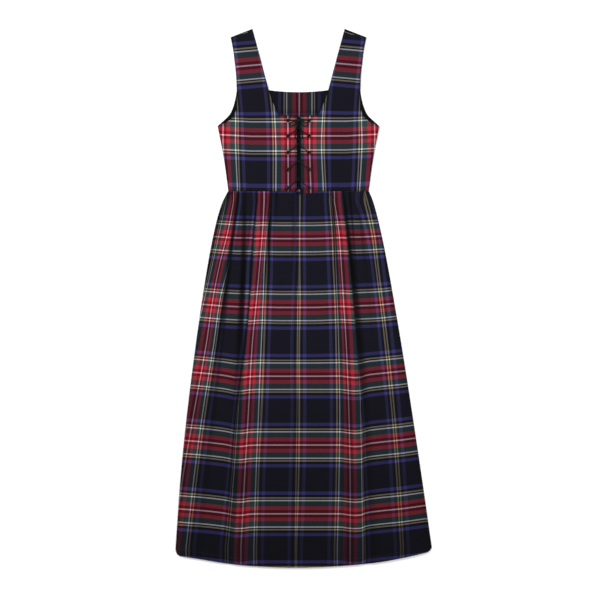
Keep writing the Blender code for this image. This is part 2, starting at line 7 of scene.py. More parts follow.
import math
from collections import namedtuple

import bpy
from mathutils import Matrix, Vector, noise
from mathutils.geometry import delaunay_2d_cdt

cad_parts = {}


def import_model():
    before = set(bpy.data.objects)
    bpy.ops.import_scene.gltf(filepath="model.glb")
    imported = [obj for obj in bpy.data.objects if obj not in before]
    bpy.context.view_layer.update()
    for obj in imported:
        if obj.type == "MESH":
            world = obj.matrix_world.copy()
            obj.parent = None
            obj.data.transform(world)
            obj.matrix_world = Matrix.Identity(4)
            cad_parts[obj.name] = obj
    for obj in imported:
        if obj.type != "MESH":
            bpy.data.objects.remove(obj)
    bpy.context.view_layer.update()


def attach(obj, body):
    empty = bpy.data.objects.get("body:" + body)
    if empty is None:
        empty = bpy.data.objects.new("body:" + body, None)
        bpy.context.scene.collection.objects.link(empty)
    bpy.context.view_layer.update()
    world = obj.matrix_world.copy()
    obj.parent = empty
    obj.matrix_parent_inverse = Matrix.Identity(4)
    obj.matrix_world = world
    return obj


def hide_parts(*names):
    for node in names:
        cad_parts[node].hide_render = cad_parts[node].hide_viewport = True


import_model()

MM = 0.001


def table(columns, *rows):
    """Rows of numbers with named columns."""
    kind = namedtuple("Row", columns)
    return tuple(kind(*row) for row in rows)


# Main lengths, cloth walls and the gaps between pieces
WAIST_FALL = 406 * MM
SKIRT_LENGTH = 940 * MM
SHOULDER_Y = (WAIST_FALL + SKIRT_LENGTH) / 2
CENTRE_X = -13 * MM
CLOTH = 1.2 * MM
PLAIN_CLOTH = 1.0 * MM
SEAM_GAP = 0.3 * MM

# Heights of the stacked layers
FRONT_LOW = CLOTH + SEAM_GAP
LACE_RADIUS = 1.1 * MM
LACE_UNDER_Z = FRONT_LOW + PLAIN_CLOTH + SEAM_GAP + LACE_RADIUS
FRONT_HIGH = LACE_UNDER_Z + LACE_RADIUS + SEAM_GAP
FRONT_TOP = FRONT_HIGH + CLOTH

# Bodice, with half its width at falls below the shoulder
NECK_FALL = 216.5 * MM
BACK_NECK_FALL = 153 * MM
BACK_NECK_DIP = 5 * MM
BACK_STRAP_ROWS = 3
SLIT_EDGES = (3.9 * MM, 5.3 * MM)
CORNER_DIP = 6 * MM
DIP_STARTS = (-6 * MM, 2.5 * MM)
DIP_ENDS = (22 * MM, 54 * MM)
CURVE_STEPS = 3
NECK_STEPS = 8
STRAP_INNER = table("fall half", (0, 115.4), (75, 95.0), (153, 74.5), (186, 63.0), (216.5, 49.5))
STRAP_OUTER = table("fall half", (21, 169.7), (52, 163.4), (82, 159.7), (115, 156.0), (154, 154.2))
FRONT_ARMHOLE = table(
    "fall half", (154, 154.2), (192, 154.5), (207, 157.5), (222, 166.0), (234, 181.5), (242.5, 202.0)
)
BACK_ARMHOLE = table(
    "fall half", (154, 154.2), (177, 158.2), (202, 165.8), (215, 172.7), (227, 184.4), (242.5, 202.0)
)
SIDE_SEAM = table("fall half", (242.5, 202.0), (277, 195.3), (327, 186.0), (377, 179.0), (406, 175.2))
FACING_EDGE = table(
    "fall half", (154, 138.0), (200, 142.0), (222, 150.0), (236, 164.0), (246, 181.0), (256, 197.5)
)

# How the front bodice rises from its edges to the laced centre, and the black panel behind the slit
STRAP_RISE = (90 * MM, 200 * MM)
OVER_FACING = 1.3 * MM
FACING_START = (112 * MM, 148 * MM)
FACING_END = (258 * MM, 295 * MM)
BODICE_SHOULDER = 0.8
UNDERLAY_HALF = 42 * MM
UNDERLAY_FALLS = (221 * MM, 402 * MM)

# Skirt edges
SKIRT = table(
    "drop left right side_seam",
    (0, -176.2, 176.2, 162.0),
    (24, -188.5, 186.0, 168.5),
    (59, -200.5, 196.0, 177.5),
    (111, -213.0, 208.2, 187.0),
    (181, -226.3, 222.2, 195.0),
    (271, -240.8, 238.2, 206.3),
    (421, -261.8, 263.4, 223.7),
    (571, -280.3, 286.7, 238.0),
    (721, -295.1, 309.0, 249.3),
    (890, -307.0, 333.2, 258.5),
)
HEM = table(
    "x drop",
    *((-307, 910), (-256, 917), (-166, 931.5), (-86, 938), (0, 940)),
    *((91, 937), (196, 927.5), (254, 917.5), (333, 899.5)),
)
HEM_CORNER = 14 * MM
HEM_SIDE_DROP = 890 * MM
FRONT_SEAM_X = (2.5 * MM, -6.5 * MM)

# Folds that gather at the waist and run down the front of the skirt
FOLDS = OUTER_LEFT, SMALL_LEFT, LONG_LEFT, INNER_LEFT, LONG_RIGHT, SMALL_RIGHT, OUTER_RIGHT = table(
    "waist hip hem fades waist_width hem_width depth hem_depth",
    (-151, -179, -262, 560, 7, 18, 0.85, 0.3),
    (-134, -141, -160, 190, 5, 8, 0.5, 0.2),
    (-105, -136, -175, 2000, 6, 24, 0.92, 0.5),
    (-68, -79, -100, 360, 6, 11, 0.9, 0.3),
    (109, 134, 167, 2000, 6, 22, 0.95, 0.65),
    (128, 146, 190, 110, 5, 7, 0.55, 0.2),
    (148, 172, 226, 230, 6, 10, 0.65, 0.2),
)
HIP_DROP = 230
FOLD_GROWS = 18 * MM
FOLD_START = 0.5
FOLD_FADES_FROM = 0.45
LINE_SHARES = (0, 0.1, 0.22, 0.45, 0.7, 0.88)
WAIST_CREST = 3.6 * MM
HEM_CREST = 2.6 * MM
SIDE_SLOPE = 30 * MM
EDGE_ROLL = 0.75 * MM

# Eyelets and lace
EYELET_X = 26 * MM
EYELET_FALLS = (229 * MM, 268 * MM, 309 * MM, 352 * MM, 398 * MM)
EYELET_HOLE = 3.2 * MM
EYELET_BARREL = 2.9 * MM
EYELET_BORE = 2.2 * MM
EYELET_RIM = 4.6 * MM
EYELET_THICK = 0.6 * MM
RIM_HEIGHT = 1.0 * MM
LACE_OVER_Z = FRONT_TOP + SEAM_GAP + LACE_RADIUS
LACE_RIM_Z = LACE_OVER_Z + EYELET_THICK + SEAM_GAP
KNOT_FALL = 229.5 * MM
KNOT_Z = 9.4 * MM
KNOT_SIZE = (5.5 * MM, 5.5 * MM, 2.4 * MM)
KNOT_CORE = 0.96
KNOT_REACH = 0.6
BAR_JOIN_X = 22 * MM
BAR_STEP = 15 * MM
STRAND_CLEARANCE = 0.4 * MM
TIP_SHARE = 0.92
TIP_STEPS = 10

# Heights of the lace at distances (mm) from an eyelet's centre: below the panel and above it
CLIMB = table("away z", (2.6, LACE_UNDER_Z), (1, LACE_UNDER_Z + 0.15 * MM), (0, LACE_UNDER_Z + LACE_RADIUS))
DRAPE = table(
    "away z", (0, FRONT_TOP + 0.7 * MM), (0.3, LACE_OVER_Z + 0.2 * MM), (1.3, LACE_RIM_Z), (3.2, LACE_RIM_Z)
)

# The lace from one eyelet to the next. Shares are of the whole way, halves count from the slit's
# middle to its near or far edge, and down is the share of the way down to the crossing's height.
RIM_SHARE = 0.16
OVER_SHARE = 0.26
UNDER_SHARE = 0.8
CROSSING_HALVES = 0.15
NEAR_SLIT = table("halves down", (1.25, 0), (0.88, 0.06), (0.4, 0.84))
FAR_SLIT = table("halves z", (0.82, LACE_UNDER_Z + 1.3 * SEAM_GAP), (1.25, LACE_UNDER_Z))

# Routes of the bow, its free ends and the knot's turn, as (x, fall, z) in millimetres
LOOP_ROUTE = (
    *((-5.4, 231.8, 9.4), (-10.0, 232.2, 9.0), (-15.5, 232.8, 8.3), (-20.6, 234.6, 7.95)),
    *((-23.6, 238.6, 7.9), (-21.4, 242.8, 7.9), (-16.4, 243.2, 7.9), (-11.0, 240.8, 8.1)),
    *((-7.0, 237.4, 8.8), (-4.0, 234.0, 9.4)),
)
LEFT_END_ROUTE = (
    *((-1.6, 235.3, 9.4), (-2.4, 240.2, 9.4), (-4.3, 246.2, 10.2), (-6.3, 252.6, 10.8)),
    *((-7.6, 259.2, 9.7), (-8.4, 266.0, 8.2), (-8.3, 274.0, 7.9), (-8.2, 282.0, 7.9), (-8.6, 288.5, 7.9)),
)
RIGHT_END_ROUTE = (
    *((1.6, 235.3, 9.4), (2.6, 240.6, 9.4), (4.7, 246.6, 10.2), (6.6, 253.0, 10.8)),
    *((8.0, 259.4, 9.7), (8.9, 266.0, 8.2), (9.8, 273.0, 7.9), (11.0, 281.0, 7.9), (11.7, 287.5, 7.9)),
)
KNOT_TURN_ROUTE = (
    *((-3.6, 234.6, 8.6), (-3.0, 232.6, 10.4), (-1.0, 230.2, 11.3)),
    *((1.6, 227.9, 11.0), (3.2, 226.2, 9.6), (3.6, 225.2, 8.3)),
)

# Fineness of the meshes
SHARP_ANGLE = math.radians(40)
EDGE_ROOM = 0.45
CLOTH_SPACING = 4.5 * MM
BACK_SPACING = 9 * MM
COLUMN_STEP = 2.6 * MM
SKIRT_ROWS = 200
ROW_GROWTH = 1.15
ROW_PARTS = [(row / (SKIRT_ROWS - 1)) ** ROW_GROWTH for row in range(SKIRT_ROWS)]
STEPS_UNDER = 60
STEPS_ROLL = 8
STEPS_OVER = 28
EYELET_SIDES = 40
RIM_STEPS = 10
KNOT_RINGS = 16
KNOT_SIDES = 28
ROUTE_STEPS = 6
TUBE_SIDES = 20

# Unevenness of the cloth as (wave length, height), and the folds that the lace draws
BODICE_RIPPLE = (26 * MM, 0.9 * MM)
SKIRT_RIPPLE = (34 * MM, 1.2 * MM)
RIPPLE_ROOM = 16 * MM
PUCKER_START = 6.5 * MM
PUCKER_END = 11 * MM
PUCKER_DEPTH = 0.25 * MM
PUCKER_FAN = 0.35
PUCKER_FAN_ROOM = 1 * MM
PUCKER_SPREAD = 0.5
PUCKER_REACH = 16 * MM
GATHER_FADES = (20 * MM, 120 * MM)
GATHER_GROWS = 8 * MM
GATHER_WIDTH = 6.5 * MM
GATHER_LENGTH = 90 * MM
GATHER_HEIGHT = 1.5 * MM
GATHER_SEED = 4.0

# Shares of light that the cloth loses round eyelets, at the slit, the neck, its edges and seams
PUCKER_SHADE = 0.6
RING_SHADE = 0.75
RING_SHADE_END = 8 * MM
SLIT_SHADE = 0.35
SLIT_SHADE_FADES = (9 * MM, 21 * MM)
SLIT_END_SHADE = 0.92
SLIT_END = (1.5 * MM, 0.5 * MM)
SLIT_END_REACH = (4 * MM, 13 * MM)
NECK_SHADE = (0.74, 0.3)
NECK_SHADE_DROPS = (198 * MM, 219 * MM)
NECK_SHADE_ENDS = (222 * MM, 240 * MM)
EDGE_SHADE = 0.4
EDGE_SHADE_WIDTH = 2.4 * MM
SEAM_SHADE = 0.1
SEAM_SHADE_WIDTH = 2.2 * MM
CREASE_CORE = 0.25

# Shade along folds and edges: how deep it is at five drops, and how far it reaches to each side
# at the waist and at the hem. A fold's shade has its own line through three points.
CREASE_DROPS = (0, 90, 230, 500, 940)
CREASE_COLUMNS = "at_0 at_90 at_230 at_500 at_940 left right hem_left hem_right"
CREASES = table(
    "waist hip hem " + CREASE_COLUMNS,
    (-151, -179, -262, 0.7, 0.85, 0.93, 0.4, 0.1, 5, 6, 26, 24),
    (-132, -138, -172, 0.45, 0.7, 0.88, 0.6, 0.4, 9, 5, 28, 14),
    (-68, -79, -100, 0.75, 0.92, 0.4, 0.1, 0, 8, 8, 8, 16),
    (-54, -58, -60, 0.7, 0, 0, 0, 0, 4, 4, 4, 4),
    (-8, -10, -14, 0.65, 0.55, 0.4, 0.3, 0.25, 10, 6, 12, 7),
    (84, 98, 112, 0.8, 0.85, 0.6, 0.35, 0.1, 9, 3, 14, 12),
    (108, 118, 130, 0, 0.1, 0.1, 0.25, 0.25, 4, 4, 26, 22),
    (109, 134, 167, 0.6, 0.88, 0.9, 0.5, 0.3, 3, 10, 6, 42),
    (128, 146, 190, 0.75, 0.6, 0.2, 0, 0, 4, 4, 7, 7),
    (148, 172, 226, 0.35, 0.35, 0.15, 0, 0, 5, 5, 8, 8),
)
LAP_CREASE, LEFT_EDGE_CREASE, RIGHT_EDGE_CREASE = table(
    CREASE_COLUMNS,
    (0.45, 0.7, 0.6, 0.35, 0.2, 6, 2, 10, 4),
    (0.8, 0.6, 0.35, 0.2, 0.15, 1, 26, 1, 20),
    (0.4, 0.45, 0.35, 0.2, 0.15, 9, 1, 20, 1),
)

# Where the tartan's lines lie on each strip of the skirt. Cloth is the place on the cloth across
# the repeat, and the other columns are the line's x at each drop below the waist.
REPEAT = 175 * MM
STRIPE_DROPS = (25, 100, 180, 265, 385, 560, 715, 890)
STRIPE_COLUMNS = "cloth d25 d100 d180 d265 d385 d560 d715 d890"
OUTER_STRIPES = table(
    STRIPE_COLUMNS,
    (-215, -184.8, -201, -218, -238, -268.8, -301.3, -328.8, -353.8),
    (-175, -161.8, -176.3, -196.3, -213, -230.5, -262.3, -289, -314.5),
    (-156.5, -155, -165.5, -185.5, -202.5, -221.3, -250, -273.8, -296.3),
    (-141.5, -146.3, -158.8, -173.8, -195, -212.5, -240.8, -261.3, -281),
    (-122.5, -132, -143.8, -158.8, -180, -196.5, -221.5, -241.5, -260.5),
)
LONG_STRIPES = table(
    STRIPE_COLUMNS,
    (-122.5, -144, -155.5, -170.8, -180, -196.5, -221.5, -241.5, -260.5),
    (-52.5, -112, -117.5, -126, -129, -141.3, -161, -176, -194.3),
    (-33.5, -93, -98.5, -107, -110, -122.3, -151.3, -162, -176.3),
)
INNER_STRIPES = table(
    STRIPE_COLUMNS,
    (-52.5, -128.8, -130, -136.3, -143.8, -151.3, -161, -176, -194.3),
    (-33.5, -110.3, -113, -120, -127.8, -139.3, -151.3, -162, -176.3),
    (-18.5, -105, -104.8, -110.8, -118.5, -130, -141.3, -151, -161.8),
    (0, -85.6, -89.3, -96.3, -104, -115.5, -125.5, -134.5, -143.8),
    (18.5, -71.2, -82.3, -88.8, -95, -103.8, -111.3, -118.8, -127),
    (33.5, -67.5, -80, -86, -88.5, -93.5, -100.5, -106.5, -111.5),
    (40, -64.5, -78, -79, -83.3, -87, -93.8, -100.5, -105.8),
    (52.5, -58.8, -71.3, -66.8, -69.5, -73.5, -79.8, -86.5, -90.5),
)
CENTRE_LEFT_STRIPES = table(
    STRIPE_COLUMNS,
    (52.5, -65.8, -68.3, -66.8, -69.5, -73.5, -79.8, -86.5, -90.5),
    (122.5, -8.8, -8.8, -11, -14, -16.8, -16, -20.3, -23.5),
    (133.8, 2.3, 1.8, 1.3, -1.3, -3.3, -3.5, -6.3, -8.8),
)
CENTRE_RIGHT_STRIPES = table(
    STRIPE_COLUMNS,
    (-135, 3.3, 2.8, 2.3, 3.5, 1.5, 1.5, -0.3, -5.3),
    (-122.5, 15.5, 13.5, 15.3, 15.3, 15.3, 15.8, 13.8, 7.3),
    (-52.5, 66.5, 71, 74.3, 78, 80.8, 82.5, 80.8, 76),
    (-40, 78.5, 84.5, 87.3, 91.3, 94.3, 96.5, 94.8, 90.5),
    (-33.5, 81.8, 90.3, 93.8, 96.8, 101, 103.5, 101.5, 97),
    (0, 89, 100, 106, 111.5, 119, 125.8, 128.8, 129),
    (33.5, 119.8, 130.8, 136.8, 142.3, 149.8, 155.8, 158.3, 161),
    (52.5, 137.3, 148.3, 154.3, 159.8, 167.3, 161, 168.3, 176.5),
)
SIDE_STRIPES = table(
    STRIPE_COLUMNS,
    (33.5, 64, 87.3, 101, 111.5, 122.8, 155.8, 158.3, 161),
    (52.5, 83, 106.3, 120, 130.5, 141.8, 161, 168.3, 176.5),
    (122.5, 146.3, 169.3, 183.3, 193.8, 205, 223.3, 231.5, 242),
    (135, 166, 182.5, 192.2, 202.9, 217, 234.3, 246.1, 255.8),
)
LAP_X = (-102, -110.5, -115.5, -121, -132, -153, -166.5, -172)
LAP_ROOM = 3 * MM

# How far the bands across the skirt hang below their level at the centre
LEFT_LIFTS = table(
    "x lift", (-306, -12), (-291, -11), (-251, -8.8), (-224, -6.5), (-186, -3.4), (-150, -1.8)
)
MIDDLE_LIFTS = table(
    "x lift",
    *((-159, 2.5), (-126, 0.8), (-91, -1), (-49, 0), (36, 0), (56, -0.5), (106, -2.5), (144, -1), (160, 1)),
)
RIGHT_LIFTS = table(
    "x lift",
    *((150, -4), (189, -5.5), (211, -7), (236, -9.8), (256, -12), (271, -14), (289, -16.8), (306, -19)),
)
LOWER_LIFTS = table(
    "x lift",
    *((-306, -12.5), (-251, -9), (-224, -6.5), (-190, -2.5), (-176, 0), (-160, 3.7), (-141, 3.5)),
    *((-122, 0.8), (-100, 0), (106, 0), (129, 3.2), (141, 4), (157, 3), (166, -1), (179, -4.2)),
    *((211, -8), (256, -12.3), (289, -16.8), (316, -20.5)),
)
LIFTS_CHANGE = (330 * MM, 500 * MM)
WAIST_LIFT = 2.5
WAIST_LIFT_FADES = 25 * MM
FIRST_BAND_DROP = 118.3
SKIRT_CLOTH_STRETCH = 1.0186
WRAP_START = -135 * MM
WRAP_INSET = 2.8 * MM
WRAP_SQUEEZE = 1.05

# The same for the bodice's front, at falls below the shoulder
STRIPE_FALLS = (30, 120, 200, 290, 400)
BODICE_COLUMNS = "cloth f30 f120 f200 f290 f400"
BODICE_LEFT_STRIPES = table(
    BODICE_COLUMNS,
    (-175, -206.3, -196.3, -188.8, -188.3, -182.5),
    (-141.5, -176.3, -166.3, -157.8, -157.3, -152.5),
    (-135, -170, -160.5, -151.8, -151, -147.5),
    (-122.5, -159.8, -150.8, -142.8, -139, -135),
    (-52.5, -103.8, -87.8, -78.8, -75.5, -74.5),
    (-40, -91.3, -77.5, -66.3, -63, -62.8),
    (-33.5, -85, -70, -61, -56.5, -56.3),
    (0, -51.3, -35.3, -27.5, -26.3, -25.5),
    (18.5, -32.8, -16.8, -10.5, -9.5, -9.5),
)
BODICE_RIGHT_STRIPES = table(
    BODICE_COLUMNS,
    (-18.5, 27.5, 14, 13.5, 14.5, 14.5),
    (0, 46, 32.5, 28.8, 27.5, 30.5),
    (33.5, 83.8, 68.8, 61.8, 57.5, 61.8),
    (40, 91.3, 75.5, 66, 63.3, 68),
    (52.5, 101.3, 85.5, 77.5, 76.5, 78),
    (122.5, 159.3, 148.3, 141.8, 139.8, 135.5),
    (135, 171.3, 160, 152.3, 152, 147.3),
    (141.5, 177.5, 166.3, 157.5, 158.5, 153),
    (175, 208.8, 198.8, 190.3, 190.3, 183.8),
)
BODICE_BANDS = table(
    "cloth left_fall right_fall",
    *((-227.5, 33.8, 30.5), (-175, 91.3, 88), (-122.5, 144.8, 142.3), (-52.5, 213, 210.8)),
    *((0, 268.8, 267.8), (52.5, 325.3, 321.8), (122.5, 391.8, 389.8), (131.5, 406, 405)),
)
TILT_FROM_X = 118
STRAP_TILT = -0.09
BODY_TILT = 0.055
TILT_CHANGE = (150 * MM, 240 * MM)
BACK_CENTRE = 2 * MM
BACK_SQUEEZE = 0.94
BACK_BAND_FALL = 266.8 * MM

# The tartan: each band from its pivot outwards, as it shows where it crosses itself
SETT = table(
    "start red green blue",
    *((0.0, 250, 204, 212), (1.5, 106, 6, 18), (9.0, 174, 46, 62), (18.5, 42, 62, 60)),
    *((31.9, 236, 234, 240), (35.1, 16, 14, 22), (38.5, 162, 150, 116), (42.0, 16, 14, 22)),
    *((48.5, 60, 58, 124), (56.5, 18, 17, 27)),
)
BLUE_START = 48.5
WARP_BLUE = (BLUE_START, 52, 52, 98)
COLOUR_STEPS = 255
CURVE_OFFSET = 0.055
CURVE_POWER = 2.4
# Painted shade: the warp's colours darken down the skirt towards the hem, as (place down the cloth in
# repeats, share of the colour kept)
WARP_SHADE_FROM = (1.4, 0.96)
WARP_SHADE_TO = (4.8, 0.45)
TWILL_PITCH = 1.3 * MM
TWILL_SHARE = 0.16

# Noise as (scale, detail), the light it leaves as (range, least), and bumps as (strength, depth)
GRAIN = (160.0, 4.0)
GRAIN_LIGHT = (0.34, 0.83)
PATCHES = (5.0, 2.0)
PATCH_LIGHT = (0.2, 0.9)
CLOTH_LEVEL = 0.95
THREAD_BUMP = (0.35, 0.2 * MM)
DRAPE_NOISE = (7.0, 3.0, 0.6)
DRAPE_BUMP = (0.4, 6 * MM)
PLAIN_GRAIN = (220.0, 3.0)
PLAIN_PART = (0.5, 0.25)
PLAIN_BUMP = (0.3, 0.2 * MM)
BRAID_STRANDS = 8.0
BRAID_BUMP = (0.6, 0.3 * MM)
WEAR = (900.0, 2.0)
WEAR_PART = (0.4, 0.3)

# Colours, how far they vary from dark to light, and finishes
BLACK_CLOTH = (0.0035, 0.0033, 0.004)
LACE_BLACK = (0.004, 0.004, 0.005)
DARK_METAL = (0.03, 0.028, 0.028)
TIP_BLUE = (0.035, 0.045, 0.06)
THREAD_PALE = (0.5, 0.48, 0.44)
THREAD_BLACK = (0.006, 0.006, 0.007)
WHITE = (1.0, 1.0, 1.0)
STAGE_COLOUR = (0.98, 0.98, 0.98)
PLAIN_SPREAD = (0.6, 1.5)
BRAID_SPREAD = (0.5, 2.2)
WEAR_SPREAD = (0.8, 1.2)
TWILL_FINISH, PLAIN_FINISH, BRAID_FINISH, TIP_FINISH, METAL_FINISH, THREAD_FINISH, STAGE_FINISH = table(
    "roughness metallic sheen specular",
    *((0.82, 0, 0.03, 0.06), (0.9, 0, 0.02, 0.05), (0.7, 0, 0.01, 0.12), (0.35, 0, 0, 0.5)),
    *((0.32, 0.9, 0, 0.5), (0.7, 0, 0, 0.5), (0.95, 0, 0, 0)),
)

# Topstitching
STITCH_LONG = 2.6 * MM
STITCH_WIDE = 0.5 * MM
STITCH_HIGH = 0.2 * MM
STITCH_PITCH = 3.6 * MM
STITCH_TOP_SHARE = 0.6
STITCH_INSET = 4 * MM
STITCH_ROOM = 0.9
STITCH_BREAK = 3 * CLOTH_SPACING
SEAM_ROOM = 3 * MM
HEM_DEPTH = 16 * MM
STRAP_STITCH_PITCH = 2.4 * MM
STRAP_STITCHES = table("start start_fall end end_fall", (-140, 11.5, -128, 8), (115, 7, 137, 14.5))
BOX_CORNERS = ((-1, -1), (1, -1), (1, 1), (-1, 1))
BOX_FACES = ((3, 2, 1, 0), (4, 5, 6, 7), (0, 1, 5, 4), (1, 2, 6, 5), (2, 3, 7, 6), (3, 0, 4, 7))

# Room and camera
CAMERA_PLACE = (-9.25 * MM, -4.5 * MM, 6.0)
CAMERA_LENS = 144.0
CAMERA_SENSOR = 36.0
STAGE_HALF = 6.0
KEY_LIGHT = ("key", (-1.6, 1.8, 2.6), 1.6, 95.0)
FILL_LIGHT = ("fill", (1.8, -0.6, 3.0), 2.5, 45.0)
ROOM_LIGHT = 0.45


# Garment measures and the solids' own forms

def world(x, fall, z):
    """Garment measures to world coordinates."""
    return Vector((x + CENTRE_X, SHOULDER_Y - fall, z))


def clamp(value):
    return min(1.0, max(0.0, value))


def ease(start, end, value):
    """0 before start, 1 after end and a smooth step between."""
    part = clamp((value - start) / (end - start))
    return part * part * (3 - 2 * part)


def mix(first, second, part):
    return first + (second - first) * part


def between(first, second, part):
    """A point on the way from one point to another."""
    return mix(first[0], second[0], part), mix(first[1], second[1], part)


def smooth_at(keys, values, at):
    """A smooth curve through values at their keys."""
    last = len(keys) - 1
    at = min(max(at, keys[0]), keys[last])
    slopes = [(values[k + 1] - values[k]) / (keys[k + 1] - keys[k]) for k in range(last)]
    tangents = [slopes[0]] + [(slopes[k - 1] + slopes[k]) / 2 for k in range(1, last)] + [slopes[-1]]
    span = max(k for k in range(last) if keys[k] <= at)
    width = keys[span + 1] - keys[span]
    t = (at - keys[span]) / width
    return (
        values[span] * (2 * t ** 3 - 3 * t ** 2 + 1)
        + tangents[span] * width * (t ** 3 - 2 * t ** 2 + t)
        + values[span + 1] * (3 * t ** 2 - 2 * t ** 3)
        + tangents[span + 1] * width * (t ** 3 - t ** 2)
    )


def read_table(rows, key, column, value):
    """A column of a table at any value of its key column, on a smooth curve through the rows."""
    keys = [getattr(row, key) * MM for row in rows]
    return smooth_at(keys, [getattr(row, column) * MM for row in rows], value)


def edge_points(rows):
    """Points (x, fall) down a smooth edge, with CURVE_STEPS to each row of its table."""
    points = []
    for above, below in zip(rows, rows[1:]):
        for step in range(CURVE_STEPS):
            fall = mix(above.fall, below.fall, step / CURVE_STEPS) * MM
            points.append((read_table(rows, "fall", "half", fall), fall))
    return points + [(rows[-1].half * MM, rows[-1].fall * MM)]


def signed_area(loop):
    return sum(a[0] * b[1] - b[0] * a[1] for a, b in zip(loop, loop[1:] + loop[:1])) / 2


def inside_loop(point, loop):
    inside = False
    for a, b in zip(loop, loop[1:] + loop[:1]):
        if (a[1] > point[1]) != (b[1] > point[1]):
            inside ^= point[0] < a[0] + (point[1] - a[1]) / (b[1] - a[1]) * (b[0] - a[0])
    return inside


def room_to_loop(point, loop):
    """Distance from a point to the nearest stretch of a closed loop."""
    here = Vector(point)
    nearest = math.inf
    for a, b in zip(loop, loop[1:] + loop[:1]):
        start, run = Vector(a), Vector(b) - Vector(a)
        part = clamp((here - start).dot(run) / run.length_squared)
        nearest = min(nearest, (here - start - run * part).length)
    return nearest


def cut_cloth(outline, holes, spacing):
    """Flat points and triangles of a cut piece, with inner points on a staggered grid."""
    loops = [outline] + holes
    low = [min(point[axis] for point in outline) for axis in (0, 1)]
    high = [max(point[axis] for point in outline) for axis in (0, 1)]
    row_step = spacing * math.sqrt(0.75)
    inner = []
    for row in range(int((high[1] - low[1]) / row_step) + 1):
        stagger = spacing * 0.5 * (row % 2)
        for column in range(int((high[0] - low[0]) / spacing) + 1):
            spot = (low[0] + column * spacing + stagger, low[1] + row * row_step)
            clear = all(room_to_loop(spot, loop) > spacing * EDGE_ROOM for loop in loops)
            if clear and inside_loop(spot, outline):
                inner.append(spot)
    points, edges = [], []
    for loop in loops:
        first = len(points)
        points += loop
        edges += [(first + k, first + (k + 1) % len(loop)) for k in range(len(loop))]
    flat = [Vector(point) for point in points + inner]
    found, _, faces, *_ = delaunay_2d_cdt(flat, edges, [], 0, 1e-7)
    kept = []
    for face in faces:
        middle = [sum(found[k][axis] for k in face) / 3 for axis in (0, 1)]
        if inside_loop(middle, outline) and not any(inside_loop(middle, hole) for hole in holes):
            turn = signed_area([found[k] for k in face])
            kept.append(tuple(face) if turn < 0 else tuple(reversed(face)))
    return [tuple(point) for point in found], kept


def front_half_width(fall):
    return read_table(STRAP_OUTER[:-1] + FRONT_ARMHOLE[:-1] + SIDE_SEAM, "fall", "half", fall)


def bodice_underside(x, fall):
    """Height of the front bodice's underside, high behind the lacing and low at the sides."""
    facing = ease(*FACING_START, fall) * (1 - ease(*FACING_END, fall))
    across = abs(x) / front_half_width(fall)
    crown = ease(*STRAP_RISE, fall) * (1 - ease(BODICE_SHOULDER, 1.0, across))
    return mix(FRONT_LOW + OVER_FACING * facing, FRONT_HIGH, crown)


def waist_dip(x):
    """The right front hangs a little lower beside the slit."""
    return CORNER_DIP * ease(*DIP_STARTS, x) * (1 - ease(*DIP_ENDS, x))


def slit_edge(side):
    """Distance of a front's slit edge from the centre; the slit lies a little to the viewer's right."""
    return SLIT_EDGES[0] if side < 0 else SLIT_EDGES[1]


def skirt_edge(column, drop):
    return read_table(SKIRT, "drop", column, drop)


def front_seam(drop):
    return mix(*FRONT_SEAM_X, drop / SKIRT_LENGTH)


def hem_drop(x):
    """Drop of the hem at x, with its two corners rounded off."""
    left, right = skirt_edge("left", HEM_SIDE_DROP), skirt_edge("right", HEM_SIDE_DROP)
    inset = clamp(min(x - left, right - x) / HEM_CORNER)
    lift = HEM_CORNER * (1 - math.sqrt(1 - (1 - inset) ** 2))
    return read_table(HEM, "x", "drop", x) - lift


def fold_centre(fold, drop):
    """The fold's x on a parabola through its waist, hip and hem values."""
    at = drop / MM
    end = SKIRT_LENGTH / MM
    waist = fold.waist * (at - HIP_DROP) * (at - end) / (HIP_DROP * end)
    hip = fold.hip * at * (at - end) / (HIP_DROP * (HIP_DROP - end))
    hem = fold.hem * at * (at - HIP_DROP) / (end * (end - HIP_DROP))
    return (waist + hip + hem) * MM


def fold_cut(fold, x, drop):
    """Share of the cloth's rise that a fold takes away at a point."""
    down = drop / SKIRT_LENGTH
    width = mix(fold.waist_width, fold.hem_width, down) * MM
    offset = abs(x - fold_centre(fold, drop)) / width
    if offset >= 1:
        return 0.0
    growth = mix(FOLD_START, 1.0, ease(0, FOLD_GROWS, drop))
    fade = 1 - ease(FOLD_FADES_FROM * fold.fades * MM, fold.fades * MM, drop)
    depth = mix(fold.depth, fold.hem_depth, down)
    return depth * growth * fade * (0.5 + 0.5 * math.cos(math.pi * offset))


def skirt_underside(x, drop):
    """Height of the skirt front's underside: a low crown with the folds pressed into it."""
    inset = min(x - skirt_edge("left", drop), skirt_edge("right", drop) - x)
    rise = mix(WAIST_CREST, HEM_CREST, drop / SKIRT_LENGTH) * ease(0, SIDE_SLOPE, inset)
    for fold in FOLDS:
        rise *= 1 - fold_cut(fold, x, drop)
    return FRONT_LOW + rise


def line_of(function, kind):
    """A line down the skirt, from a function of (kind, drop)."""
    return lambda drop: function(kind, drop)


def skirt_guides(side, middle):
    """Edges and main folds of a front skirt panel, from the viewer's left to right."""
    def seam(drop):
        return front_seam(drop) + side * SEAM_GAP / 2

    if side > 0:
        return [seam, line_of(fold_centre, LONG_RIGHT), line_of(skirt_edge, "side_seam")]
    folds = [line_of(fold_centre, OUTER_LEFT), middle, line_of(fold_centre, INNER_LEFT)]
    return [line_of(skirt_edge, "left")] + folds + [seam]


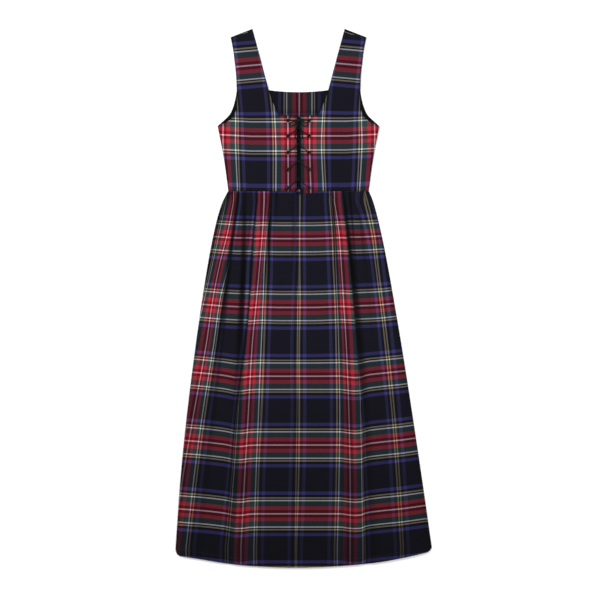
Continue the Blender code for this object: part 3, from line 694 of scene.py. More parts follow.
def waist_edge(side):
    """The front bodice's lower edge from side seam to slit, with a point at each line of the solid."""
    slit, seam = slit_edge(side), SIDE_SEAM[-1].half * MM
    tops = [guide(0) for guide in skirt_guides(side, line_of(fold_centre, LONG_LEFT))]
    spots = [mix(a, b, share) for a, b in zip(tops, tops[1:]) for share in LINE_SHARES] + tops[-1:]
    spots = [seam] + sorted((abs(x) for x in spots if slit < abs(x) < seam), reverse=True) + [slit]
    return [(side * x, WAIST_FALL + waist_dip(side * x)) for x in spots]


def mirrored(points, side):
    return [(x * side, fall) for x, fall in points]


def round_hole(x, fall):
    turns = [math.tau * k / EYELET_SIDES for k in range(EYELET_SIDES)]
    return [(x + EYELET_HOLE * math.cos(a), fall + EYELET_HOLE * math.sin(a)) for a in turns]


def front_outline(side):
    """Half a front bodice with its strap: neck, strap, armhole, side seam and waist."""
    strap = edge_points(STRAP_INNER)[::-1]
    outside = edge_points(STRAP_OUTER)[:-1] + edge_points(FRONT_ARMHOLE)[:-1] + edge_points(SIDE_SEAM)[:-1]
    return mirrored([(slit_edge(side), NECK_FALL)] + strap + outside, side) + waist_edge(side)


def back_outline():
    strap = edge_points(STRAP_INNER[:BACK_STRAP_ROWS])[::-1]
    half = strap + edge_points(STRAP_OUTER)[:-1] + edge_points(BACK_ARMHOLE)[:-1] + edge_points(SIDE_SEAM)
    neck = []
    for k in range(1, NECK_STEPS):
        part = 1 - 2 * k / NECK_STEPS
        neck.append((-part * strap[0][0], BACK_NECK_FALL + BACK_NECK_DIP * (1 - part * part)))
    return half + mirrored(half, -1)[::-1] + neck


# Shells of cloth

def add_mesh(name, points, faces, material):
    mesh = bpy.data.meshes.new(name)
    mesh.from_pydata(points, [], faces)
    mesh.materials.append(material)
    mesh.shade_smooth()
    mesh.set_sharp_from_angle(angle=SHARP_ANGLE)
    piece = bpy.data.objects.new(name, mesh)
    bpy.context.collection.objects.link(piece)
    return piece


def close_wall(name, outer, inner, faces, material, corner_places, shades):
    """A thin shell between two matching sheets of points.

    Each corner of an outer face has its place on the cloth, kept in repeats of the tartan, and
    each point has its shade.
    """
    count = len(outer)
    edges = set()
    for face in faces:
        edges.update(zip(face, face[1:] + face[:1]))
    rim = [edge for edge in edges if (edge[1], edge[0]) not in edges]
    walls = [(b, a, a + count, b + count) for a, b in sorted(rim)]
    inside = [tuple(count + k for k in reversed(face)) for face in faces]
    piece = add_mesh(name, outer + inner, faces + inside + walls, material)
    by_face = [dict(zip(face, places)) for face, places in zip(faces, corner_places)]
    by_point = {}
    for places in by_face:
        by_point.update(places)
    flat = []
    for face in piece.data.polygons:
        known = by_face[face.index % len(faces)] if face.index < 2 * len(faces) else by_point
        for point in face.vertices:
            flat += [place / REPEAT for place in known[point % count]]
    piece.data.uv_layers.new(name="Cloth").data.foreach_set("uv", flat)
    shade = piece.data.attributes.new("Shade", "FLOAT", "POINT")
    shade.data.foreach_set("value", shades * 2)
    return piece


def wear(piece, node):
    """The piece stands for its node and moves with the dress."""
    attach(piece, "root")
    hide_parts(node)


def ripple(x, fall, size, height):
    """A soft unevenness of the cloth, never lower than its solid."""
    return height * (0.5 + 0.5 * noise.noise(Vector((x / size, fall / (2 * size), 0.0))))


# Places on the cloth

def level_at(rows, x):
    """Straight runs through rows of (x, lift)."""
    if x <= rows[0].x:
        return rows[0].lift
    for before, after in zip(rows, rows[1:]):
        if x <= after.x:
            return mix(before.lift, after.lift, (x - before.x) / (after.x - before.x))
    return rows[-1].lift


def across_cloth(stripes, levels, x, at):
    """Place across the tartan at x, from where its stripes lie at this level. All in millimetres."""
    lines = [(smooth_at(levels, stripe[1:], at), stripe.cloth) for stripe in stripes]
    if x <= lines[0][0]:
        return lines[0][1] + x - lines[0][0]
    for (start, low), (end, high) in zip(lines, lines[1:]):
        if x <= end:
            return mix(low, high, (x - start) / (end - start))
    return lines[-1][1] + x - lines[-1][0]


def skirt_down(lifts, x, drop):
    """Place down the cloth: the bands rise and dip with the lifts, and less so lower down."""
    lift = mix(level_at(lifts, x / MM), level_at(LOWER_LIFTS, x / MM), ease(*LIFTS_CHANGE, drop))
    lift += WAIST_LIFT * (1 - ease(0, WAIST_LIFT_FADES, drop))
    return (drop / MM - FIRST_BAND_DROP - lift) * SKIRT_CLOTH_STRETCH * MM


def bodice_place(side, x, fall):
    """Place on the cloth of a point of the bodice's front."""
    stripes = BODICE_LEFT_STRIPES if side < 0 else BODICE_RIGHT_STRIPES
    across = across_cloth(stripes, STRIPE_FALLS, x / MM, fall / MM)
    away = abs(x) / MM - TILT_FROM_X
    tilt = mix(STRAP_TILT * away, BODY_TILT * max(0, away), ease(*TILT_CHANGE, fall))
    falls = [band.left_fall if side < 0 else band.right_fall for band in BODICE_BANDS]
    level = fall / MM + tilt
    above = min(0, level - falls[0])
    down = smooth_at(falls, [band.cloth for band in BODICE_BANDS], level) + above
    return across * MM, down * MM


def back_bodice_place(x, fall):
    return (x - BACK_CENTRE) / BACK_SQUEEZE, fall - BACK_BAND_FALL


# Bodice

def panel(name, outline, underside, thickness, material, place, shade, holes=(), spacing=BACK_SPACING):
    """A cut piece of cloth over a height function of (x, fall), with its places on the cloth."""
    flat, faces = cut_cloth(outline, list(holes), spacing)
    low = [world(x, fall, underside(x, fall)) for x, fall in flat]
    high = [point + Vector((0, 0, thickness)) for point in low]
    places = [place(x, fall) for x, fall in flat]
    corners = [tuple(places[k] for k in face) for face in faces]
    return close_wall(name, high, low, faces, material, corners, [shade(x, fall) for x, fall in flat])


def steady(value):
    """The same value all over a panel."""
    return lambda x, fall: value


def fine_outline(points, step):
    """The outline with a point at least every step, so that the cloth can bend along its edges."""
    fine = []
    for a, b in zip(points, points[1:] + points[:1]):
        count = max(1, math.ceil(math.dist(a, b) / step))
        fine += [between(a, b, k / count) for k in range(count)]
    return fine


def front_height(x, fall):
    """The solid's underside, with the cloth drawn down round each eyelet and a little uneven."""
    away = min(math.dist((abs(x), fall), (EYELET_X, spot)) for spot in EYELET_FALLS)
    still = ease(PUCKER_START, PUCKER_END, away)
    ring = ease(EYELET_RIM, PUCKER_START, away) * (1 - still)
    inset = abs(x) - slit_edge(-1 if x < 0 else 1)
    room = ease(0, RIPPLE_ROOM, front_half_width(fall) - abs(x)) * ease(0, RIPPLE_ROOM, inset)
    return bodice_underside(x, fall) - PUCKER_DEPTH * ring + ripple(x, fall, *BODICE_RIPPLE) * room * still


def slit_end_shade(x, fall):
    """The cloth turns in under the end of the slit, at the waist."""
    away = math.dist((x, fall), (SLIT_END[0], WAIST_FALL + SLIT_END[1]))
    return 1 - SLIT_END_SHADE * (1 - ease(*SLIT_END_REACH, away))


def front_shade(outline):
    """Darker along turned edges and in the folds that the lace draws towards each eyelet."""
    def shade(x, fall):
        edge = 1 - ease(0, EDGE_SHADE_WIDTH, room_to_loop((x, fall), outline))
        spot = min(EYELET_FALLS, key=lambda level: abs(level - fall))
        run, lean = abs(x) - EYELET_X, fall - spot
        aside = abs(abs(lean) - PUCKER_SPREAD * max(run, 0))
        fan = 1 - ease(0, PUCKER_FAN * max(run, PUCKER_FAN_ROOM), aside)
        reach = ease(-EYELET_X, 0, run) * (1 - ease(0, PUCKER_REACH, run))
        ring = RING_SHADE * (1 - ease(EYELET_BARREL, RING_SHADE_END, math.hypot(run, lean)))
        slit = 1 - SLIT_SHADE * (1 - ease(*SLIT_SHADE_FADES, abs(x))) * ease(*STRAP_RISE, fall)
        lost = max(EDGE_SHADE * edge, PUCKER_SHADE * fan * reach, ring)
        return slit * slit_end_shade(x, fall) * (1 - lost)

    return shade


def make_bodice_front(name, side, material):
    holes = [round_hole(side * EYELET_X, fall) for fall in EYELET_FALLS]
    outline = fine_outline(front_outline(side), CLOTH_SPACING)

    def place(x, fall):
        return bodice_place(side, x, fall)

    shade = front_shade(outline)
    return panel(name, outline, front_height, CLOTH, material, place, shade, holes, CLOTH_SPACING)


def back_shade(x, fall):
    """The inside of the back lies in the shade of the front's neck edge."""
    level = mix(*NECK_SHADE, ease(*NECK_SHADE_DROPS, fall))
    return mix(level, 1.0, ease(*NECK_SHADE_ENDS, fall))


def make_bodice_back(material):
    outline = fine_outline(back_outline(), BACK_SPACING)
    return panel("back_bodice", outline, steady(0.0), CLOTH, material, back_bodice_place, back_shade)


def on_back(name, outline, material):
    """A plain black piece that lies on the back bodice."""
    return panel(name, outline, steady(FRONT_LOW), PLAIN_CLOTH, material, back_bodice_place, steady(1.0))


def make_facing(name, side, material):
    """Black strip inside the back armhole, which shows past the front's deeper cut."""
    outer = [(x - SEAM_GAP, fall) for x, fall in edge_points(BACK_ARMHOLE)]
    return on_back(name, mirrored(outer + edge_points(FACING_EDGE)[::-1], side), material)


def make_underlay(material):
    half = UNDERLAY_HALF
    top, bottom = UNDERLAY_FALLS
    corners = [(-half, top), (half, top), (half, bottom), (-half, bottom)]
    return on_back("slit_underlay", fine_outline(corners, BACK_SPACING), material)


# Skirt

def grid_faces(columns, rows, flip):
    faces = []
    for column in range(columns - 1):
        for row in range(rows - 1):
            a = column * rows + row
            face = (a, a + 1, a + rows + 1, a + rows)
            faces.append(tuple(reversed(face)) if flip else face)
    return faces


def lap_line(drop):
    """Edge of the long left fold, where the cloth on its right begins."""
    lap = smooth_at(STRIPE_DROPS, LAP_X, drop / MM) * MM
    return max(lap, fold_centre(LONG_LEFT, drop) + LAP_ROOM)


def skirt_strips(side):
    """Strips of a front panel between its folds, as (left line, right line, stripes, lifts)."""
    stripes, lifts = [CENTRE_RIGHT_STRIPES, SIDE_STRIPES], [MIDDLE_LIFTS, RIGHT_LIFTS]
    if side < 0:
        stripes = [OUTER_STRIPES, LONG_STRIPES, INNER_STRIPES, CENTRE_LEFT_STRIPES]
        lifts = [LEFT_LIFTS, LEFT_LIFTS, MIDDLE_LIFTS, MIDDLE_LIFTS]
    lines = skirt_guides(side, lap_line)
    return list(zip(lines, lines[1:], stripes, lifts))


def skirt_height(x, drop):
    """The solid's underside with soft unevenness, small gathers near the waist and flat edges."""
    room = min(x - skirt_edge("left", drop), skirt_edge("right", drop) - x)
    room = min(room, abs(x - front_seam(drop)), hem_drop(x) - drop)
    fade = (1 - ease(*GATHER_FADES, drop)) * ease(0, GATHER_GROWS, drop)
    wave = 0.5 + 0.5 * noise.noise(Vector((x / GATHER_WIDTH, drop / GATHER_LENGTH, GATHER_SEED)))
    uneven = GATHER_HEIGHT * fade * wave + ripple(x, drop, *SKIRT_RIPPLE)
    return skirt_underside(x, drop) + uneven * ease(0, RIPPLE_ROOM, room)


def crease_shade(line, crease, x, drop):
    """Share of light that a crease leaves: sharp on its near side and soft on its far side."""
    sides = (crease.left, crease.hem_left) if x < line else (crease.right, crease.hem_right)
    away = abs(x - line) / (mix(*sides, drop / SKIRT_LENGTH) * MM)
    if away >= 1:
        return 1.0
    depths = (crease.at_0, crease.at_90, crease.at_230, crease.at_500, crease.at_940)
    return 1 - smooth_at(CREASE_DROPS, depths, drop / MM) * (1 - ease(CREASE_CORE, 1, away))


def skirt_shade(x, drop):
    """Darker in the folds, at the round edges and against the seams."""
    shade = 1.0
    for crease in CREASES:
        shade *= crease_shade(fold_centre(crease, drop), crease, x, drop)
    shade *= crease_shade(lap_line(drop), LAP_CREASE, x, drop)
    shade *= crease_shade(skirt_edge("left", drop), LEFT_EDGE_CREASE, x, drop)
    shade *= crease_shade(skirt_edge("right", drop), RIGHT_EDGE_CREASE, x, drop)
    seam = min(abs(x - front_seam(drop)), abs(x - skirt_edge("side_seam", drop)))
    shade *= slit_end_shade(x, WAIST_FALL + drop)
    return shade * (1 - SEAM_SHADE * (1 - ease(0, SEAM_SHADE_WIDTH, seam)))


def make_skirt_front(name, side, material):
    """A front skirt panel in strips that follow its folds, each with its own run of the tartan."""
    low, faces, corners, shades = [], [], [], []
    first = 0
    for number, (left, right, stripes, lifts) in enumerate(skirt_strips(side)):
        steps = math.ceil((right(HEM_SIDE_DROP) - left(HEM_SIDE_DROP)) / COLUMN_STEP)
        places = []
        for step in range(steps + 1):
            def line(drop, share=step / steps):
                return mix(left(drop), right(drop), share)
            top = waist_dip(line(0)) + SEAM_GAP
            bottom = hem_drop(line(HEM_SIDE_DROP))
            shared = step == 0 and number > 0
            for part in ROW_PARTS:
                drop = mix(top, bottom, part)
                x = line(drop)
                across = across_cloth(stripes, STRIPE_DROPS, x / MM, drop / MM) * MM
                places.append((across, skirt_down(lifts, x, drop)))
                if not shared:
                    low.append(world(x, WAIST_FALL + drop, skirt_height(x, drop)))
                    shades.append(skirt_shade(x, drop))
        for face in grid_faces(steps + 1, SKIRT_ROWS, False):
            corners.append(tuple(places[k] for k in face))
            faces.append(tuple(first + k for k in face))
        first += steps * SKIRT_ROWS
    high = [point + Vector((0, 0, CLOTH)) for point in low]
    return close_wall(name, high, low, faces, material, corners, shades)


def back_section(part):
    """One row of the back panel: flat under the dress, round its right edge and back on top."""
    reach = EDGE_ROLL + CLOTH / 2
    outer, inner, places, shades = [], [], [], []

    def drop_at(hem_x):
        return mix(SEAM_GAP, hem_drop(hem_x), part)

    def add(x, drop, out, into, across, shade):
        outer.append(out)
        inner.append(into)
        places.append((across, skirt_down(RIGHT_LIFTS, x, drop)))
        shades.append(shade)

    def strip_across(x, drop):
        return WRAP_START + (x - skirt_edge("side_seam", drop) - WRAP_INSET) / WRAP_SQUEEZE

    hem_left, hem_right = skirt_edge("left", HEM_SIDE_DROP), skirt_edge("right", HEM_SIDE_DROP) - reach
    for k in range(STEPS_UNDER + 1):
        share = k / STEPS_UNDER
        drop = drop_at(mix(hem_left, hem_right, share))
        edge = skirt_edge("right", drop) - reach
        x = mix(skirt_edge("left", drop), edge, share)
        across = strip_across(edge, drop) + math.pi * reach + edge - x
        add(x, drop, world(x, WAIST_FALL + drop, 0.0), world(x, WAIST_FALL + drop, CLOTH), across, 1.0)
    middle = world(edge, WAIST_FALL + drop, reach)
    for k in range(1, STEPS_ROLL):
        turn = math.pi * k / STEPS_ROLL - math.pi / 2
        arm = Vector((math.cos(turn), 0, math.sin(turn)))
        across = strip_across(edge, drop) + reach * (math.pi / 2 - turn)
        out, into = middle + arm * reach, middle + arm * (reach - CLOTH)
        add(edge, drop, out, into, across, skirt_shade(edge, drop))
    hem_seam = skirt_edge("side_seam", HEM_SIDE_DROP)
    for k in range(STEPS_OVER + 1):
        share = k / STEPS_OVER
        drop = drop_at(mix(hem_right, hem_seam, share))
        x = mix(skirt_edge("right", drop) - reach, skirt_edge("side_seam", drop) + SEAM_GAP, share)
        low = skirt_underside(x, drop)
        top, under = world(x, WAIST_FALL + drop, low + CLOTH), world(x, WAIST_FALL + drop, low)
        add(x, drop, top, under, strip_across(x, drop), skirt_shade(x, drop))
    return outer, inner, places, shades


def make_skirt_back(material):
    sections = [back_section(part) for part in ROW_PARTS]
    columns = len(sections[0][0])
    outer, inner, places, shades = (
        [section[kind][k] for k in range(columns) for section in sections] for kind in range(4)
    )
    faces = grid_faces(columns, SKIRT_ROWS, True)
    corners = [tuple(places[k] for k in face) for face in faces]
    return close_wall("back_skirt", outer, inner, faces, material, corners, shades)


# Stitching

def unit(start, end):
    """Direction from one point to another."""
    run = math.dist(start, end)
    return (end[0] - start[0]) / run, (end[1] - start[1]) / run


def inset_line(outline, inset):
    """Points inside a closed outline at a steady distance from its edge."""
    turn = 1 if signed_area(outline) > 0 else -1
    points = []
    for before, after in zip(outline, outline[1:] + outline[:1]):
        across, down = unit(before, after)
        middle = between(before, after, 0.5)
        points.append((middle[0] - down * turn * inset, middle[1] + across * turn * inset))
    return [point for point in points if room_to_loop(point, outline) > inset * STITCH_ROOM]


def spaced(points, pitch):
    """Places one pitch apart along a line of points, each with its direction. Gaps stay open."""
    places = []
    due = 0.0
    for a, b in zip(points, points[1:]):
        run = math.dist(a, b)
        if run > STITCH_BREAK:
            due = 0.0
            continue
        while due < run:
            places.append((*between(a, b, due / run), *unit(a, b)))
            due += pitch
        due -= run
    return places


def make_stitches(name, places, height, material):
    """Small raised stitches on the cloth whose top has this height at (x, fall)."""
    points, faces = [], []
    for x, fall, across, down in places:
        first = len(points)
        for rise, share in ((-STITCH_HIGH / 2, 1.0), (STITCH_HIGH, STITCH_TOP_SHARE)):
            for end, side in BOX_CORNERS:
                ahead, aside = end * STITCH_LONG / 2 * share, side * STITCH_WIDE / 2 * share
                at = (x + across * ahead - down * aside, fall + down * ahead + across * aside)
                points.append(world(*at, height(*at) + rise))
        faces += [tuple(first + k for k in reversed(face)) for face in BOX_FACES]
    piece = add_mesh(name, points, faces, material)
    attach(piece, "root")
    return piece


def bodice_stitches(side):
    """Places of the topstitching along the slit, neck, strap and armhole of one front."""
    sewn = []
    for x, fall in inset_line(fine_outline(front_outline(side), CLOTH_SPACING), STITCH_INSET):
        at_seam = fall > SIDE_SEAM[0].fall * MM and abs(x) > front_half_width(fall) - 2 * STITCH_INSET
        if not at_seam and fall < WAIST_FALL - STITCH_INSET - SEAM_ROOM:
            sewn.append((x, fall))
    return spaced(sewn, STITCH_PITCH)


def strap_stitches(side):
    """Places of the short bar of stitches across the top of a strap."""
    run = STRAP_STITCHES[0 if side < 0 else 1]
    start, end = (run.start * MM, run.start_fall * MM), (run.end * MM, run.end_fall * MM)
    count = math.ceil(math.dist(start, end) / STRAP_STITCH_PITCH)
    across, down = unit(start, end)
    return [(*between(start, end, k / count), -down, across) for k in range(count + 1)]


def hem_stitches(side):
    """Places of the stitching that holds the turned hem of one front panel."""
    seam = front_seam(HEM_SIDE_DROP)
    start, end = seam + SEAM_ROOM, skirt_edge("side_seam", HEM_SIDE_DROP) - SEAM_ROOM
    if side < 0:
        start, end = skirt_edge("left", HEM_SIDE_DROP) + 2 * SEAM_ROOM, seam - SEAM_ROOM
    count = math.ceil((end - start) / CLOTH_SPACING)
    xs = [mix(start, end, k / count) for k in range(count + 1)]
    return spaced([(x, WAIST_FALL + hem_drop(x) - HEM_DEPTH) for x in xs], STITCH_PITCH)


def front_top(x, fall):
    return front_height(x, fall) + CLOTH


def skirt_top(x, fall):
    return skirt_height(x, fall - WAIST_FALL) + CLOTH


# Lace and eyelets

def smooth_route(points):
    """A smooth curve through the route's own points."""
    spots = [Vector(point) for point in points]
    spots = [spots[0] * 2 - spots[1]] + spots + [spots[-1] * 2 - spots[-2]]
    route = []
    for a, b, c, d in zip(spots, spots[1:], spots[2:], spots[3:]):
        for step in range(ROUTE_STEPS):
            t = step / ROUTE_STEPS
            bend = 2 * a - 5 * b + 4 * c - d
            twist = 3 * b - 3 * c + d - a
            route.append((2 * b + (c - a) * t + bend * t * t + twist * t ** 3) / 2)
    return [tuple(spot) for spot in route + [spots[-2]]]


def through_eyelet(spot, arriving, leaving):
    """Route up through an eyelet, from under the panel to over the rim."""
    steps = [(-row.away * MM, arriving, row.z) for row in CLIMB]
    steps += [(row.away * MM, leaving, row.z) for row in DRAPE]
    return [(spot[0] + way[0] * away, spot[1] + way[1] * away, z) for away, way, z in steps]


def across_slit(start, end, middle_z):
    """Route over the first panel, across the slit and under the second, as (part, z) levels."""
    side = 1 if start[0] > 0 else -1
    width = 2 * EYELET_X
    before, after = slit_edge(side) / width, slit_edge(-side) / width
    levels = [(RIM_SHARE, LACE_RIM_Z - SEAM_GAP), (OVER_SHARE, LACE_OVER_Z)]
    for row in NEAR_SLIT:
        levels.append((0.5 - row.halves * before, mix(LACE_OVER_Z, middle_z, row.down)))
    levels.append((0.5 + CROSSING_HALVES * after, middle_z))
    levels += [(0.5 + row.halves * after, row.z) for row in FAR_SLIT]
    levels.append((UNDER_SHARE, LACE_UNDER_Z))
    return [(*between(start, end, part), z) for part, z in levels]


def strand_route(first_side, crossing_z):
    """Half of the lace, from the bar behind the lowest eyelets up to the knot."""
    stops = []
    side = first_side
    for fall in reversed(EYELET_FALLS):
        stops.append((side * EYELET_X, fall))
        side = -side
    bar = (BAR_JOIN_X if first_side < 0 else BAR_JOIN_X + SEAM_GAP, EYELET_FALLS[-1])
    knot = (first_side * (KNOT_SIZE[0] + SEAM_GAP), EYELET_FALLS[0])
    joins = (0, 1, 2) if first_side < 0 else (0,)
    route = [(bar[0] - BAR_STEP * k, bar[1], LACE_UNDER_Z) for k in joins]
    for before, stop, after in zip([bar] + stops, stops, stops[1:] + [knot]):
        route += through_eyelet(stop, unit(before, stop), unit(stop, after))
        if after is not knot:
            route += across_slit(stop, after, crossing_z)
    route.append((mix(stops[-1][0], knot[0], KNOT_REACH), knot[1], LACE_RIM_Z))
    return route + [(*knot, KNOT_Z)]


def in_metres(route, side=1):
    return [(side * x * MM, fall * MM, z * MM) for x, fall, z in route]


def make_tube(name, points, material, tip_material=None):
    """A round lace along points (x, fall, z), with a map for its braid and, at the end, a tip."""
    spots = [world(*point) for point in points]
    ahead = [spots[1] - spots[0]] + [c - a for a, c in zip(spots, spots[2:])] + [spots[-1] - spots[-2]]
    tip_start = len(spots) - TIP_STEPS if tip_material else len(spots)
    side = ahead[0].cross(Vector((0, 0, 1))).normalized()
    rings, faces, along = [], [], [0.0]
    for before, after in zip(spots, spots[1:]):
        along.append(along[-1] + (after - before).length)
    for k, (spot, way) in enumerate(zip(spots, ahead)):
        way = way.normalized()
        side = (side - way * side.dot(way)).normalized()
        up = side.cross(way)
        radius = LACE_RADIUS * (TIP_SHARE if k >= tip_start else 1.0)
        for turn in range(TUBE_SIDES):
            angle = math.tau * turn / TUBE_SIDES
            rings.append(spot + (side * math.cos(angle) + up * math.sin(angle)) * radius)
    last = (len(spots) - 1) * TUBE_SIDES
    for a in range(0, last, TUBE_SIDES):
        for turn in range(TUBE_SIDES):
            after = (turn + 1) % TUBE_SIDES
            faces.append((a + turn, a + after, a + TUBE_SIDES + after, a + TUBE_SIDES + turn))
    faces += [tuple(reversed(range(TUBE_SIDES))), tuple(range(last, last + TUBE_SIDES))]
    piece = add_mesh(name, rings, faces, material)
    braid = piece.data.uv_layers.new(name="Braid")
    for face in piece.data.polygons:
        for corner, point in zip(face.loop_indices, face.vertices):
            turn, ring = point % TUBE_SIDES, point // TUBE_SIDES
            wrapped = TUBE_SIDES if turn == 0 and face.index % TUBE_SIDES == TUBE_SIDES - 1 else turn
            braid.data[corner].uv = (wrapped / TUBE_SIDES, along[ring] / LACE_RADIUS)
    if tip_material:
        piece.data.materials.append(tip_material)
        for face in piece.data.polygons:
            face.material_index = int(face.index >= (tip_start - 1) * TUBE_SIDES)
    return piece


def make_eyelet(name, x, fall, material):
    """A turned ring: a barrel through the panel's hole and a rounded rim that lies on the cloth."""
    rim_z = FRONT_TOP + SEAM_GAP / 2
    middle = (EYELET_BORE + EYELET_RIM) / 2
    half = (EYELET_RIM - EYELET_BORE) / 2
    profile = [(EYELET_BORE, FRONT_HIGH), (EYELET_BARREL, FRONT_HIGH), (EYELET_BARREL, rim_z)]
    for k in range(RIM_STEPS + 1):
        turn = math.pi * k / RIM_STEPS
        profile.append((middle + half * math.cos(turn), rim_z + RIM_HEIGHT * math.sin(turn)))
    points, faces = [], []
    count = len(profile)
    for side in range(EYELET_SIDES):
        turn = math.tau * side / EYELET_SIDES
        for radius, z in profile:
            points.append(world(x + radius * math.cos(turn), fall + radius * math.sin(turn), z))
        near, far = side * count, (side + 1) % EYELET_SIDES * count
        for k in range(count):
            after = (k + 1) % count
            faces.append((near + k, near + after, far + after, far + k))
    return add_mesh(name, points, faces, material)


def make_knot(material):
    """The knot's core."""
    points, faces = [], []
    for ring in range(KNOT_RINGS + 1):
        tilt = math.pi * ring / KNOT_RINGS
        for side in range(KNOT_SIDES):
            turn = math.tau * side / KNOT_SIDES
            arm = (math.sin(tilt) * math.cos(turn), math.sin(tilt) * math.sin(turn), math.cos(tilt))
            x, y, z = (arm[axis] * KNOT_SIZE[axis] * KNOT_CORE for axis in range(3))
            points.append(world(x, KNOT_FALL - y, KNOT_Z + z))
    for a in range(0, KNOT_RINGS * KNOT_SIDES, KNOT_SIDES):
        for side in range(KNOT_SIDES):
            after = (side + 1) % KNOT_SIDES
            faces.append((a + side, a + KNOT_SIDES + side, a + KNOT_SIDES + after, a + after))
    core = bpy.data.meshes.new("bow_knot")
    core.from_pydata(points, [], faces)
    core.validate()
    core.materials.append(material)
    core.shade_smooth()
    piece = bpy.data.objects.new("bow_knot", core)
    bpy.context.collection.objects.link(piece)
    return piece


# Materials

def new_material(name, finish):
    material = bpy.data.materials.new(name)
    material.use_nodes = True
    shader = material.node_tree.nodes["Principled BSDF"]
    for socket, value in zip(("Roughness", "Metallic", "Sheen Weight", "Specular IOR Level"), finish):
        shader.inputs[socket].default_value = value
    return material, material.node_tree, shader


def add_node(tree, kind, links=(), **settings):
    """A node with its settings, and with (socket, source or value) pairs for its inputs."""
    node = tree.nodes.new(kind)
    for key, value in settings.items():
        setattr(node, key, value)
    for socket, source in links:
        if isinstance(source, bpy.types.NodeSocket):
            tree.links.new(source, node.inputs[socket])
        else:
            node.inputs[socket].default_value = source
    return node


def maths(tree, operation, first, second=0.0, third=0.0):
    links = ((0, first), (1, second), (2, third))
    return add_node(tree, "ShaderNodeMath", links, operation=operation).outputs[0]


def mixed(tree, part, first, second, blend="MIX"):
    links = ((0, part), (6, first), (7, second))
    return add_node(tree, "ShaderNodeMix", links, data_type="RGBA", blend_type=blend).outputs[2]


def grey(tree, level):
    return add_node(tree, "ShaderNodeCombineColor", ((0, level), (1, level), (2, level))).outputs[0]


def noise_map(tree, places, scale, detail, distortion=0.0):
    links = [("Scale", scale), ("Detail", detail), ("Distortion", distortion)]
    if places:
        links.append(("Vector", places))
    return add_node(tree, "ShaderNodeTexNoise", links).outputs[0]


def bump(tree, height, strength, depth, *below):
    """Relief of this height, on top of any relief below it."""
    links = [("Strength", strength), ("Distance", depth), ("Height", height)]
    links += [("Normal", normal) for normal in below]
    return add_node(tree, "ShaderNodeBump", links).outputs[0]


def varied(tree, part, colour, spread):
    """The colour from its dark to its light share."""
    dark, light = ((*[share * c for c in colour], 1.0) for share in spread)
    return mixed(tree, part, dark, light)


def thread_colours(tree, place, bands):
    """Colour of one set of threads at a place on the cloth, counted in repeats."""
    away = maths(tree, "PINGPONG", place, 0.5)
    ramp = add_node(tree, "ShaderNodeValToRGB", ((0, maths(tree, "MULTIPLY", away, 2.0)),))
    ramp.color_ramp.interpolation = "CONSTANT"
    stops = ramp.color_ramp.elements
    half_repeat = REPEAT / 2 / MM
    for k, (start, *levels) in enumerate(bands):
        stop = stops[k] if k < 1 else stops.new(start / half_repeat)
        shares = [(level / COLOUR_STEPS + CURVE_OFFSET) / (1 + CURVE_OFFSET) for level in levels]
        stop.color = (*shares, 1.0)
    stops.remove(stops[-1])
    return ramp.outputs["Color"]


def tartan_material(name):
    """Fine twill tartan: warp and weft colours mix along slanting ribs of weave."""
    material, tree, shader = new_material(name, TWILL_FINISH)
    places = add_node(tree, "ShaderNodeUVMap", uv_map="Cloth").outputs[0]
    across, down, _ = add_node(tree, "ShaderNodeSeparateXYZ", ((0, places),)).outputs
    # Painted shade: the warp's colours grow darker down the skirt towards the hem
    ends = (("From Min", WARP_SHADE_FROM[0]), ("From Max", WARP_SHADE_TO[0]))
    ends += (("To Min", WARP_SHADE_FROM[1]), ("To Max", WARP_SHADE_TO[1]))
    fade = add_node(tree, "ShaderNodeMapRange", (("Value", down), *ends)).outputs[0]
    warp_bands = [WARP_BLUE if band.start == BLUE_START else band for band in SETT]
    warp = mixed(tree, 1.0, thread_colours(tree, across, warp_bands), grey(tree, fade), "MULTIPLY")
    weft = thread_colours(tree, down, SETT)
    turns = maths(tree, "MULTIPLY", maths(tree, "ADD", across, down), REPEAT / TWILL_PITCH)
    rib = maths(tree, "MULTIPLY", maths(tree, "PINGPONG", turns, 0.5), 2.0)
    share = maths(tree, "MULTIPLY_ADD", rib, TWILL_SHARE, 0.5 - TWILL_SHARE / 2)
    cloth = mixed(tree, share, warp, weft)
    colour = add_node(tree, "ShaderNodeGamma", ((0, cloth), (1, CURVE_POWER))).outputs[0]
    uneven = maths(tree, "MULTIPLY_ADD", noise_map(tree, places, *GRAIN), *GRAIN_LIGHT)
    broad = maths(tree, "MULTIPLY_ADD", noise_map(tree, places, *PATCHES), *PATCH_LIGHT)
    shade = add_node(tree, "ShaderNodeAttribute", attribute_name="Shade").outputs["Fac"]
    level = maths(tree, "MULTIPLY", maths(tree, "MULTIPLY", uneven, broad), shade)
    level = maths(tree, "MULTIPLY", level, CLOTH_LEVEL)
    tree.links.new(mixed(tree, 1.0, colour, grey(tree, level), "MULTIPLY"), shader.inputs["Base Color"])
    thread = bump(tree, rib, *THREAD_BUMP)
    relief = bump(tree, noise_map(tree, places, *DRAPE_NOISE), *DRAPE_BUMP, thread)
    tree.links.new(relief, shader.inputs["Normal"])
    return material


def plain_cloth_material(name, colour):
    """Matte black cloth with a fine plain weave."""
    material, tree, shader = new_material(name, PLAIN_FINISH)
    places = add_node(tree, "ShaderNodeUVMap", uv_map="Cloth").outputs[0]
    grain = noise_map(tree, places, *PLAIN_GRAIN)
    part = maths(tree, "MULTIPLY_ADD", grain, *PLAIN_PART)
    tree.links.new(varied(tree, part, colour, PLAIN_SPREAD), shader.inputs["Base Color"])
    tree.links.new(bump(tree, grain, *PLAIN_BUMP), shader.inputs["Normal"])
    return material


